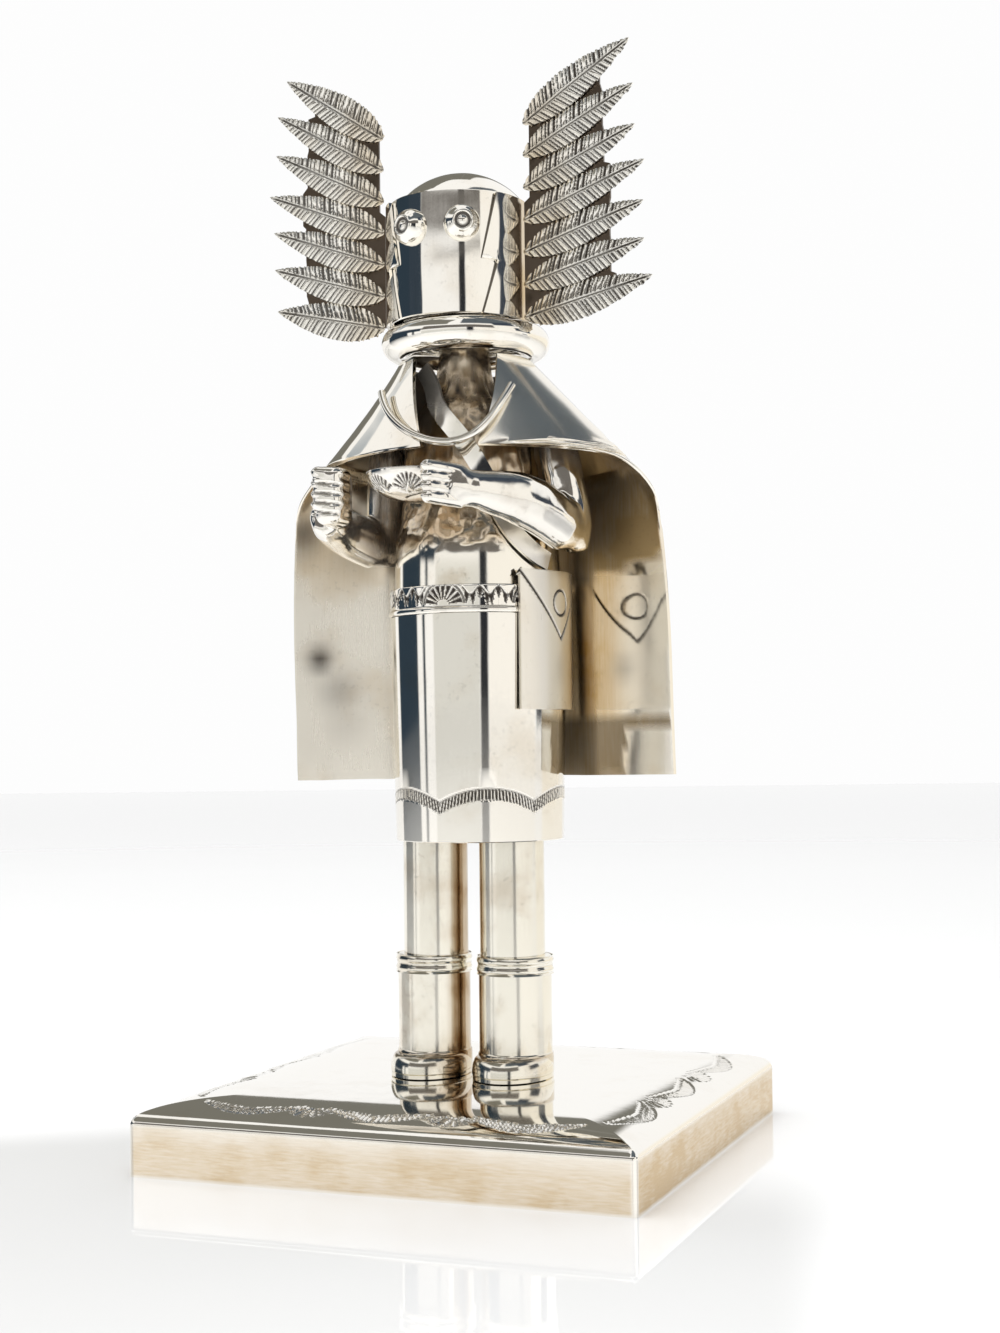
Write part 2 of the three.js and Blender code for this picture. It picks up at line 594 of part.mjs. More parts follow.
// A feather is a leaf with a raised middle rib, soldered to the front of the backing plate
function featherGeometry(name, count) {
  const { root, along } = featherLine(name, count);
  const across = new THREE.Vector2(-along.y, along.x).normalize();
  const below = featherRoom(name, count, count - 1);
  const above = featherRoom(name, count, count + 1);
  return bentSheet(8, 2, (u, v, w) => {
    const edge = 2 * v - 1;
    const half = featherShare(u) * (edge < 0 ? below : above);
    const point = root.clone().addScaledVector(along, u).addScaledVector(across, edge * half);
    const ridge = FEATHER_RIDGE * (1 - Math.abs(edge)) * Math.min(half, 1);
    return new THREE.Vector3(SIDES[name] * point.x, -SEAM - w * (FEATHER_SHEET + ridge), point.y);
  });
}

// The backing plate shows between the feathers as a row of steps
function fanPlateGeometry(name) {
  const outline = [[PLATE_AT_HEAD, HEAD_LOW + 0.6]];
  for (let count = 0; count < FEATHERS; count++) {
    const { root, along } = featherLine(name, count);
    const edge = root.addScaledVector(along, PLATE_REACH);
    const below = count === 0 ? 0.25 : 0.52;
    const above = count === FEATHERS - 1 ? 0.15 : 0.4;
    outline.push([edge.x, edge.y - below * FEATHER_WIDTH], [edge.x, edge.y + above * FEATHER_WIDTH]);
  }
  const top = featherLine(name, FEATHERS - 1).root.y + 1;
  outline.push([PLATE_ABOVE, top], [PLATE_ABOVE, HEAD_RIM], [PLATE_AT_HEAD, HEAD_RIM - 1]);
  const shape = new THREE.Shape(outline.map(([x, z]) => new THREE.Vector2(SIDES[name] * x, z)));
  const plate = new THREE.ExtrudeGeometry(shape, { depth: FAN_SHEET, bevelEnabled: false });
  return facingOut(plate.rotateX(Math.PI / 2).translate(0, FAN_SHEET, 0));
}

addPiece('base', baseGeometry(), satin());
addPiece('kilt', kiltGeometry(), polished());
addPiece('belt', beltGeometry(), polished());
addPiece('pouch', pouchGeometry(), polished());
addPiece('torso', torsoGeometry(), oxidised());
addPiece('shoulder_strap', cut(strapGeometry(), torsoGeometry(SEAM)), polished());
addPiece('arm_right', cut(rightArm(), torsoGeometry(SEAM * 2)), polished());
addPiece('arm_left', cut(leftArm(), torsoGeometry(SEAM * 2), bowlGeometry(SEAM)), polished());
addPiece('bowl', bowlGeometry(), polished());
addPiece('cape', capeGeometry(), tarnished());
addPiece('cape_tie', tieGeometry(), polished());
const collar = new THREE.TorusGeometry(RING_MIDDLE, RING_THICK, 8, 28);
addPiece('collar_ring', collar.translate(0, 0, RING_Z), polished());
addPiece('head_drum', tube(HEAD_RADIUS, HEAD_LOW, HEAD_RIM, 0, 0), polished(), head);
addPiece('head_cap', capGeometry(), polished(), head);

for (const [name, side] of Object.entries(SIDES)) {
  addPiece(`boot_${name}`, bootGeometry(side), polished());
  addPiece(`boot_cuff_${name}`, cuffGeometry(side), polished());
  const leg = tube(LEG_RADIUS, BOOT_TOP, KILT_FLOOR, side * LEG_APART, BOOT_BACK, ROUND_LEG);
  addPiece(`leg_${name}`, leg, polished());
  addPiece(`eye_${name}`, eyeGeometry(side), polished(), head);
  addPiece(`side_plate_${name}`, sidePlateGeometry(side), polished(), head);
  const fan = new THREE.Group();
  fan.position.y = FAN_Y;
  fan.rotation.z = -side * degToRad(FAN_SWEEP);
  head.add(fan);
  addPiece(`wing_plate_${name}`, fanPlateGeometry(name), oxidised(), fan);
  for (let count = 0; count < FEATHERS; count++) {
    addPiece(`feather_${name}_${count + 1}`, featherGeometry(name, count), tarnished(), fan);
  }
}

export default figure;
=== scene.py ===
import math
import bpy
import numpy as np
from mathutils import Matrix, Vector


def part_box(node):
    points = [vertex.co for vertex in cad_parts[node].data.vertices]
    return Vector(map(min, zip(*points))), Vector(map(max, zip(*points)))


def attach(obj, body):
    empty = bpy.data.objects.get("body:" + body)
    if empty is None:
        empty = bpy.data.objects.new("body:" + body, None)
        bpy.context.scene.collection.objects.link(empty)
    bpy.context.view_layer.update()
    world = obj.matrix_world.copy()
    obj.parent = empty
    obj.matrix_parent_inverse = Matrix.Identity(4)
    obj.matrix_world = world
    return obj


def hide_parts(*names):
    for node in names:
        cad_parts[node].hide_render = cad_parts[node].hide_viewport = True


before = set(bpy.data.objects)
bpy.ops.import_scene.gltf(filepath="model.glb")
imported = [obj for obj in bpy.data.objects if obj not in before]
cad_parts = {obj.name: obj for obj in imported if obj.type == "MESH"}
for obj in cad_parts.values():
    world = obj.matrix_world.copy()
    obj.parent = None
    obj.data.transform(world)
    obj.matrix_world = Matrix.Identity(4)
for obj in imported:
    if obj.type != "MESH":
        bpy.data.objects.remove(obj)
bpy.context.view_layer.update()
mm = 0.001  # pieces are sized in millimetres, the studio round them in metres
sides = {"right": -1, "left": 1}  # the figure's own right and left


# Small tools

# gaps in millimetres, the rest in degrees
meshing = {"gap": 0.001, "solidGap": 0.002, "quadFold": 60, "quadSkew": 80, "crease": 55, "bevel": 60}


def deselectAll():
    bpy.ops.object.select_all(action="DESELECT")


def activate(piece):
    deselectAll()
    piece.select_set(True)
    bpy.context.view_layer.objects.active = piece


def applyModifier(piece, kind, weights=None, least=0.01, **settings):
    # weights say how much of it each point takes, and below least a point is left out
    activate(piece)
    modifier = piece.modifiers.new(kind.title(), kind)
    for key, value in settings.items():
        setattr(modifier, key, value)
    if weights is not None:
        group = piece.vertex_groups.new(name="weights")
        for index in np.flatnonzero(weights > least):
            group.add([int(index)], float(weights[index]), "REPLACE")
        modifier.vertex_group = group.name
    bpy.ops.object.modifier_apply(modifier=modifier.name)
    piece.vertex_groups.clear()


def boxOf(node):
    # a solid's low corner, high corner and middle
    low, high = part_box(node)
    low, high = np.array(low) / mm, np.array(high) / mm
    return low, high, (low + high) / 2


def pointsOf(piece):
    places = np.empty(len(piece.data.vertices) * 3)
    piece.data.vertices.foreach_get("co", places)
    return places.reshape(-1, 3) / mm


def normalsOf(piece):
    normals = np.empty(len(piece.data.vertices) * 3)
    piece.data.vertices.foreach_get("normal", normals)
    return normals.reshape(-1, 3)


def movePoints(piece, places):
    piece.data.vertices.foreach_set("co", (np.asarray(places) * mm).ravel())
    piece.data.update()


def mark(piece, name, values):
    # what the finishes read: dark, warm and dull, each from 0 to 1; dark and warm carry oxide and tarnish,
    # and on some pieces painted shade
    layer = piece.data.attributes.get(name) or piece.data.attributes.new(name, "FLOAT", "POINT")
    layer.data.foreach_set("value", np.clip(values, 0, 1).astype(np.float32))


def press(piece, weights, depth, oxide=1):
    # stamps a pattern into the surface and leaves oxide in it
    weights = np.clip(weights, 0, 1)
    applyModifier(piece, "DISPLACE", weights, least=0.004, strength=-depth * mm, mid_level=0)
    mark(piece, "dark", oxide * weights)


def ripple(piece, size, height, weights=None):
    # slow hand-worked unevenness of the sheet
    clouds = bpy.data.textures.new(piece.name + "Ripple", "CLOUDS")
    clouds.noise_scale = size * mm
    applyModifier(piece, "DISPLACE", weights, texture=clouds, texture_coords="LOCAL", strength=height * mm,
                  mid_level=0.5)


def smoothPoints(piece, rounds, weights):
    applyModifier(piece, "SMOOTH", weights, factor=0.5, iterations=rounds)


def softEdges(piece, width):
    applyModifier(piece, "BEVEL", width=width * mm, segments=2, limit_method="ANGLE",
                  angle_limit=math.radians(meshing["bevel"]))


def hollows(piece, rounds):
    # above 0 in a groove and below 0 on a ridge, evened out over some rounds
    places, normals = pointsOf(piece), normalsOf(piece)
    ends = np.empty(len(piece.data.edges) * 2, dtype=int)
    piece.data.edges.foreach_get("vertices", ends)
    first, second = ends.reshape(-1, 2).T
    way = places[second] - places[first]
    way /= np.linalg.norm(way, axis=1, keepdims=True) + 1e-9
    count = np.bincount(ends, minlength=len(places)) + 1e-9
    value = np.bincount(first, (normals[first] * way).sum(1), len(places))
    value -= np.bincount(second, (normals[second] * way).sum(1), len(places))
    value /= count
    for _ in range(rounds):
        near = np.bincount(first, value[second], len(places)) + np.bincount(second, value[first], len(places))
        value = 0.4 * value + 0.6 * near / count
    return value


def eased(share):
    share = np.clip(share, 0, 1)
    return share * share * (3 - 2 * share)


def ramp(value, low, high):
    # 0 at low and 1 at high, whichever of them is larger
    return eased((value - low) / (high - low))


def within(value, half, soft):
    # 1 within half of zero, then down to 0 over soft
    return eased((half + soft - np.abs(value)) / soft)


def inTurn(value):
    # place within each repeat, from -0.5 to 0.5
    return value % 1 - 0.5


def azimuth(places, centre):
    # degrees round an upright axis: 0 is the front, 90 the figure's left
    return np.degrees(np.arctan2(places[:, 0] - centre[0], centre[1] - places[:, 1]))


def fromAxis(places, centre):
    return np.hypot(places[:, 0] - centre[0], places[:, 1] - centre[1])


fanPetal = {"flareFrom": 1.2, "flareOver": 3, "end": 0.3}


def fanStamp(fan, aside, up):
    # petals round a foot: pitch and spread in degrees, a petal's half width as a share of the pitch
    reach = np.hypot(aside, up)
    turn = np.degrees(np.arctan2(aside, up))
    wider = np.clip((reach - fanPetal["flareFrom"]) / fanPetal["flareOver"], 0, 1)
    half = fan["petal"] + fan["flare"] * wider
    petals = within(inTurn(turn / fan["pitch"] + 0.5), half, fan["soft"]) * (np.abs(turn) < fan["spread"])
    return petals * within(reach - fan["reach"], fan["half"], fanPetal["end"])


def tidyMesh():
    bpy.ops.mesh.select_all(action="SELECT")
    bpy.ops.mesh.remove_doubles(threshold=meshing["gap"] * mm)
    bpy.ops.mesh.normals_make_consistent(inside=False)
    bpy.ops.object.mode_set(mode="OBJECT")


def spunPiece(name, profile, steps, centre=(0, 0)):
    # a profile of radius and height, drawn point by point and spun
    deselectAll()
    bpy.ops.mesh.primitive_plane_add(size=mm)
    piece = bpy.context.object
    piece.name = name
    bpy.ops.object.mode_set(mode="EDIT")
    bpy.ops.mesh.merge(type="CENTER")
    spots = [Vector((centre[0] + radius, centre[1], height)) * mm for radius, height in profile]
    bpy.ops.transform.translate(value=spots[0])
    for here, there in zip(spots, spots[1:]):
        bpy.ops.mesh.extrude_region_move(TRANSFORM_OT_translate={"value": there - here})
    bpy.ops.mesh.select_all(action="SELECT")
    middle = Vector((centre[0], centre[1], 0)) * mm
    bpy.ops.mesh.spin(steps=steps, angle=2 * math.pi, center=middle, axis=(0, 0, 1))
    tidyMesh()
    return piece


def gridPiece(name, across, along, place):
    # a flat grid laid out by a rule of u and v, both from 0 to 1
    deselectAll()
    bpy.ops.mesh.primitive_grid_add(x_subdivisions=across, y_subdivisions=along, size=1)
    piece = bpy.context.object
    piece.name = name
    u, v = (pointsOf(piece)[:, :2] * mm + 0.5).T
    movePoints(piece, place(u, v))
    return piece


def refined(node, name, levels=0):
    # a copy of a solid, made smooth between its sharp edges
    piece = bpy.data.objects.new(name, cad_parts[node].data.copy())
    bpy.context.scene.collection.objects.link(piece)
    activate(piece)
    bpy.ops.mesh.customdata_custom_splitnormals_clear()
    bpy.ops.object.mode_set(mode="EDIT")
    bpy.ops.mesh.select_all(action="SELECT")
    bpy.ops.mesh.remove_doubles(threshold=meshing["solidGap"] * mm)
    bpy.ops.mesh.tris_convert_to_quads(face_threshold=math.radians(meshing["quadFold"]),
                                       shape_threshold=math.radians(meshing["quadSkew"]))
    bpy.ops.mesh.select_all(action="DESELECT")
    bpy.ops.mesh.select_mode(type="EDGE")
    bpy.ops.mesh.edges_select_sharp(sharpness=math.radians(meshing["crease"]))
    bpy.ops.transform.edge_crease(value=1)
    bpy.ops.mesh.select_mode(type="VERT")
    bpy.ops.object.mode_set(mode="OBJECT")
    if levels:
        applyModifier(piece, "SUBSURF", levels=levels, render_levels=levels)
    return piece


def joinPieces(name, *parts):
    activate(parts[0])
    for part in parts:
        part.select_set(True)
    bpy.ops.object.join()
    parts[0].name = name
    return parts[0]


def turnInto(piece, matrix):
    # puts a piece in its place and keeps that place in its mesh
    piece.matrix_world = matrix
    activate(piece)
    bpy.ops.object.transform_apply(location=True, rotation=True, scale=True)


def handOver(piece, finish, node, degrees=35):
    activate(piece)
    bpy.ops.object.shade_smooth_by_angle(angle=math.radians(degrees))
    piece.data.materials.clear()
    piece.data.materials.append(finish)
    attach(piece, "root")
    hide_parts(node)


# Finishes

class Wire:
    def __init__(self, tree, socket=None):
        self.tree = tree
        self.socket = socket

    def node(self, kind, settings=None, inputs=None, output=0):
        made = self.tree.nodes.new("ShaderNode" + kind)
        for key, value in (settings or {}).items():
            setattr(made, key, value)
        for key, value in (inputs or {}).items():
            if isinstance(value, Wire):
                self.tree.links.new(value.socket, made.inputs[key])
            else:
                made.inputs[key].default_value = value
        return Wire(self.tree, made.outputs[output])

    def work(self, operation, first, second):
        return self.node("Math", {"operation": operation}, {0: first, 1: second})

    def __add__(self, other):
        return self.work("ADD", self, other)

    def __sub__(self, other):
        return self.work("SUBTRACT", self, other)

    def __rsub__(self, other):
        return self.work("SUBTRACT", other, self)

    def __mul__(self, other):
        return self.work("MULTIPLY", self, other)

    __radd__ = __add__
    __rmul__ = __mul__

    def between(self, low, high):
        bounds = {"Value": self, "From Min": low, "From Max": high}
        return self.node("MapRange", {"interpolation_type": "SMOOTHSTEP"}, bounds)

    def blend(self, first, second):
        # this value chooses between two colours
        return self.node("Mix", {"data_type": "RGBA"}, {0: self, 6: first, 7: second}, 2)


def paint(red, green, blue):
    return (red, green, blue, 1)


tarnish = {"cloudEdge": (0.5, 0.72), "agedEdge": (0.4, 0.65), "aged": 0.8, "agedPatch": 0.2,
           "speckEdge": (0.56, 0.72), "speckArea": (0.45, 0.6), "specks": 0.5,
           "roughCloud": 0.1, "roughWipe": 0.05, "roughDark": 0.3, "roughDull": 0.3, "metalLost": 0.5,
           "grain": 1.1, "wipe": 0.5, "bump": 0.1, "bumpStrength": 0.5, "grainBump": 0.5, "patchBump": 3}


def silverFinish(name, colour, roughness, stain, stainSize=14, warm=paint(0.62, 0.47, 0.27),
                 black=paint(0.05, 0.04, 0.032), scratch=0.04, pits=0, wipe=(1, 1, 0.06), streak=0.5):
    # silver with warm tarnish, black in what was stamped or left in the corners; on some pieces the warm and
    # dark marks also carry painted shade
    finish = bpy.data.materials.new(name)
    finish.use_nodes = True
    tree = finish.node_tree
    shader = tree.nodes["Principled BSDF"]
    start = Wire(tree)
    place = start.node("TexCoord", output="Object")
    stretch = start.node("Mapping", {}, {"Vector": place, "Scale": wipe})

    def noise(where, size, detail):
        return start.node("TexNoise", {}, {"Vector": where, "Scale": 1 / (size * mm), "Detail": detail})

    patches = noise(place, stainSize, 4.0)
    grain = noise(place, tarnish["grain"], 3.0)
    wipes = noise(stretch, tarnish["wipe"], 2.0)
    dark, tarnishAndShade, dull = (start.node("Attribute", {"attribute_name": kind}, output="Fac")
                       for kind in ("dark", "warm", "dull"))
    clouded = patches.between(*tarnish["cloudEdge"]) * stain
    specks = grain.between(*tarnish["speckEdge"]) * patches.between(*tarnish["speckArea"])
    uneven = tarnish["aged"] - streak / 2 + streak * wipes
    uneven = uneven + tarnish["agedPatch"] * patches.between(*tarnish["agedEdge"])
    tinted = (clouded + tarnishAndShade * uneven).blend(colour, warm)
    spotted = (specks * (stain * tarnish["specks"])).blend(tinted, black)
    tree.links.new(dark.blend(spotted, black).socket, shader.inputs["Base Color"])
    rough = roughness + tarnish["roughCloud"] * clouded + tarnish["roughWipe"] * wipes
    rough = rough + tarnish["roughDark"] * dark + tarnish["roughDull"] * dull
    tree.links.new(rough.socket, shader.inputs["Roughness"])
    tree.links.new((1 - tarnish["metalLost"] * dark).socket, shader.inputs["Metallic"])
    height = wipes * scratch + grain * (scratch * tarnish["grainBump"] + pits)
    height = height + patches * (pits * tarnish["patchBump"])
    bump = start.node("Bump", {}, {"Height": height, "Distance": tarnish["bump"] * mm,
                                   "Strength": tarnish["bumpStrength"]})
    tree.links.new(bump.socket, shader.inputs["Normal"])
    return finish


polished = silverFinish("polishedSilver", paint(0.95, 0.915, 0.845), 0.035, 0.2)
legSilver = silverFinish("legSilver", paint(0.9, 0.86, 0.76), 0.11, 0.3, 9, warm=paint(0.42, 0.29, 0.16))
baseSilver = silverFinish("baseSilver", paint(0.95, 0.92, 0.86), 0.02, 0.07, 9, warm=paint(0.6, 0.43, 0.22),
                          scratch=0.08, wipe=(0.16, 0.16, 1.3), streak=0.7)
capeSilver = silverFinish("capeSilver", paint(0.93, 0.89, 0.81), 0.035, 0.2, warm=paint(0.6, 0.42, 0.19))
featherSilver = silverFinish("featherSilver", paint(0.97, 0.94, 0.87), 0.09, 0.16, 7,
                             black=paint(0.045, 0.036, 0.028))
castSilver = silverFinish("castSilver", paint(0.94, 0.905, 0.84), 0.07, 0.2, 6, warm=paint(0.35, 0.25, 0.15),
                          pits=0.02)
torsoSilver = silverFinish("torsoSilver", paint(0.94, 0.895, 0.8), 0.06, 0.35, 8, warm=paint(0.5, 0.34, 0.17),
                           pits=0.05)
# the wing plates: dark oxidised silver, made darker still as painted shade behind the feathers
backSilver = silverFinish("backSilver", paint(0.13, 0.1, 0.075), 0.3, 0.7, 6, warm=paint(0.06, 0.045, 0.03),
                          pits=0.1)
print("finishes ready")


# Camera, lights and floor

viewpoint = {"place": (152.0, -374.4, 82.9), "yaw": 21.19, "pitch": -2.09, "roll": -0.63,
             "focal": 1950, "imageHeight": 1333, "sensor": 36, "nearest": 10.0}


def placeCamera(spec):
    yaw, pitch, roll = (math.radians(spec[key]) for key in ("yaw", "pitch", "roll"))
    back = Vector((math.sin(yaw) * math.cos(pitch), -math.cos(yaw) * math.cos(pitch), math.sin(pitch)))
    right = (-back).cross(Vector((0, 0, 1))).normalized()
    above = back.cross(right)
    turned = math.cos(roll) * right + math.sin(roll) * above
    upright = math.cos(roll) * above - math.sin(roll) * right
    data = bpy.data.cameras.new("viewCamera")
    data.sensor_width = spec["sensor"]
    data.lens = spec["focal"] / spec["imageHeight"] * spec["sensor"]
    data.clip_start = spec["nearest"] * mm
    camera = bpy.data.objects.new("viewCamera", data)
    bpy.context.scene.collection.objects.link(camera)
    matrix = Matrix((turned, upright, back)).transposed().to_4x4()
    matrix.translation = Vector(spec["place"]) * mm
    camera.matrix_world = matrix
    bpy.context.scene.camera = camera


# What the silver mirrors. A panel has its azimuth from the camera's side and its height, in degrees,
# then its colour and how softly it ends above and below
studio = {
    "white": paint(1, 1, 1),
    "edge": 1.5,
    "panels": [
        ((-60, 2), (-60, 9), paint(0.73, 0.73, 0.7), 6),
        ((14, 80), (-60, 40), paint(1, 0.98, 0.94), 5),
        ((93, 152), (-60, 11), paint(1, 0.95, 0.85), 5),
        ((-128, -86), (-60, 24), paint(0.028, 0.045, 0.065), 4),
        ((-88, -62), (9, 24), paint(0.035, 0.05, 0.07), 2),
        ((-77, -73), (-60, 12), paint(0.03, 0.045, 0.06), 3),
        ((3, 13), (-60, 30), paint(0.025, 0.027, 0.032), 4),
        ((82, 92), (-60, 0.3), paint(0.03, 0.035, 0.045), 0.6),
        ((72, 100), (9, 24), paint(0.05, 0.06, 0.08), 2),
        ((-62, 40), (14.8, 33), paint(0.16, 0.15, 0.14), 0.8),
        ((-120, -28), (40, 72), paint(0.2, 0.195, 0.17), 3),
        ((-8, 138), (43, 84), paint(0.11, 0.13, 0.15), 4),
        ((42, 80), (33, 50), paint(0.05, 0.065, 0.09), 3),
        ((-181, -140), (11, 60), paint(0.19, 0.185, 0.16), 0.4),
        ((171, 181), (13, 60), paint(0.19, 0.185, 0.16), 1),
        ((-128, -112), (30, 50), paint(0.35, 0.4, 0.45), 6),
    ],
}


def buildStudio(spec):
    world = bpy.context.scene.world or bpy.data.worlds.new("studio")
    bpy.context.scene.world = world
    world.use_nodes = True
    tree = world.node_tree
    start = Wire(tree)
    direction = start.node("TexCoord", output="Generated")
    turned = start.node("VectorRotate", {"rotation_type": "Z_AXIS"},
                        {"Vector": direction, "Angle": -math.radians(viewpoint["yaw"])})
    across = start.node("SeparateXYZ", {}, {0: turned}, "X")
    away = Wire(tree, across.socket.node.outputs["Y"])
    up = Wire(tree, across.socket.node.outputs["Z"])
    toDegrees = 180 / math.pi
    around = start.work("ARCTAN2", across, away * -1) * toDegrees
    rise = start.work("ARCSINE", up, 0) * toDegrees
    edge = spec["edge"]
    colour = spec["white"]
    for (fromSide, toSide), (low, high), panel, fade in spec["panels"]:
        wide = around.between(fromSide - edge, fromSide + edge)
        wide = wide * (1 - around.between(toSide - edge, toSide + edge))
        tall = rise.between(low - fade, low + fade) * (1 - rise.between(high - fade, high + fade))
        colour = (wide * tall).blend(colour, panel)
    tree.links.new(colour.socket, tree.nodes["Background"].inputs["Color"])
    tree.nodes["Background"].inputs["Strength"].default_value = 1.0


lampSpec = {"place": (-0.2, -0.3, 1.2), "size": 1.6, "power": 18}
floorSpec = {"size": 8, "white": paint(0.95, 0.95, 0.95), "shine": 0.55, "mottle": 30.0, "roughness": 0.015,
             "uneven": 0.02}
backdropSpec = {"size": 12, "behind": 3.2, "glow": 0.985}


def hangLamp(spec):
    data = bpy.data.lights.new("overhead", "AREA")
    data.size = spec["size"]
    data.energy = spec["power"]
    lamp = bpy.data.objects.new("overhead", data)
    bpy.context.scene.collection.objects.link(lamp)
    lamp.location = spec["place"]
    lamp.rotation_euler = (-Vector(spec["place"])).to_track_quat("-Z", "Y").to_euler()
    lamp.visible_glossy = False


def hangBackdrop(spec):
    # plain white behind everything, for the camera alone
    deselectAll()
    bpy.ops.mesh.primitive_plane_add(size=spec["size"])
    sheet = bpy.context.object
    sheet.name = "backdrop"
    camera = bpy.context.scene.camera
    facing = camera.matrix_world.to_quaternion()
    middle = camera.location + facing @ Vector((0, 0, -spec["behind"]))
    turnInto(sheet, Matrix.Translation(middle) @ facing.to_matrix().to_4x4())
    glow = bpy.data.materials.new("backdropWhite")
    glow.use_nodes = True
    shader = glow.node_tree.nodes["Principled BSDF"]
    shader.inputs["Base Color"].default_value = paint(0, 0, 0)
    shader.inputs["Emission Color"].default_value = paint(1, 1, 1)
    shader.inputs["Emission Strength"].default_value = spec["glow"]
    shader.inputs["Specular IOR Level"].default_value = 0
    sheet.data.materials.append(glow)
    for kind in ("diffuse", "glossy", "transmission", "volume_scatter", "shadow"):
        setattr(sheet, "visible_" + kind, False)


def layFloor(spec):
    deselectAll()
    bpy.ops.mesh.primitive_plane_add(size=spec["size"])
    floor = bpy.context.object
    floor.name = "floor"
    white = bpy.data.materials.new("floorWhite")
    white.use_nodes = True
    shader = white.node_tree.nodes["Principled BSDF"]
    start = Wire(white.node_tree)
    place = start.node("TexCoord", output="Object")
    mottle = start.node("TexNoise", {}, {"Vector": place, "Scale": spec["mottle"]})
    rough = spec["roughness"] + spec["uneven"] * mottle
    white.node_tree.links.new(rough.socket, shader.inputs["Roughness"])
    shader.inputs["Base Color"].default_value = spec["white"]
    shader.inputs["Specular IOR Level"].default_value = spec["shine"]
    floor.data.materials.append(white)


placeCamera(viewpoint)
buildStudio(studio)
hangLamp(lampSpec)
hangBackdrop(backdropSpec)
layFloor(floorSpec)
bpy.context.scene.view_settings.view_transform = "Standard"
print("studio ready")


# Base: four mitred sides with a stamped border round a flat middle

baseSpec = {"wall": 9.8, "crown": 4.0, "swell": 2.6, "middle": 34.0, "flat": 4.0, "corner": 1.4, "along": 300,
            "wallRows": (0, 0.03, 0.07, 0.25, 0.45, 0.6, 0.75, 0.88, 0.95), "crownRows": 56, "gap": 0.005,
            "swags": (-28.2, -1.8, 27.6), "swagHalf": 10.7, "swagEnd": 41.8, "swagBelly": 46.7,
            "swagBand": 1.45, "swagTaper": 1.15, "tick": 0.84, "tickLean": 0.1, "tickLine": (0.2, 0.2),
            "rimGap": 0.12, "rimLine": (0.1, 0.14), "rimDepth": 0.8,
            "fans": (-15.4, 13.2), "fanFoot": 41.0,
            "fan": {"pitch": 19, "spread": 66, "petal": 0.2, "flare": 0, "soft": 0.16,
                    "reach": 3.472, "half": 1.904},
            "depth": 0.32, "oxide": 0.36,
            "frontDepth": 1, "rightDepth": 0.5, "farDepth": 0.25,
            "lip": 0.4, "bareCorner": (0.5, 1.5), "bareFoot": (0.1, 0.6),
            "warm": 0.66, "warmRight": 0.44, "paleTop": 0.32, "paleFrom": 5.5, "dull": 0.28}


def baseProfile(spec, half):
    # the crown falls off to the wall and sets in gently round the flat middle
    wall, crown, middle = spec["wall"], spec["crown"], spec["middle"]
    points = [(half, wall * share) for share in spec["wallRows"]]
    for step in range(spec["crownRows"] + 1):
        share = math.sin(math.pi / 2 * (1 - step / spec["crownRows"]))
        rise = crown * math.sqrt(1 - share ** spec["swell"])
        points.append((middle + (half - middle) * share, wall + rise))
    points.append((middle - spec["flat"], wall + crown))
    return np.array(points)


def borderStamp(spec, along, out):
    # crescents with ticks across them, and small fans in the gaps
    pattern = np.zeros_like(along)
    gap = spec["rimGap"]
    for middle in spec["swags"]:
        share = (along - middle) / spec["swagHalf"]
        inside = np.abs(share) < 1
        belly = spec["swagEnd"] + (spec["swagBelly"] - spec["swagEnd"]) * (1 - share ** 2)
        width = spec["swagBand"] * np.clip(spec["swagTaper"] - share ** 2, 0.1, 1)
        band = within(out - belly + width, width, gap) * inside
        ticks = within(inTurn(along / spec["tick"] + spec["tickLean"] * share), *spec["tickLine"])
        rims = within(out - belly - gap, *spec["rimLine"])
        rims = rims + within(out - belly + 2 * width + gap, *spec["rimLine"])
        pattern = np.maximum(pattern, np.maximum(band * ticks, spec["rimDepth"] * rims * inside))
    for middle in spec["fans"]:
        pattern = np.maximum(pattern, fanStamp(spec["fan"], along - middle, out - spec["fanFoot"]))
    return pattern


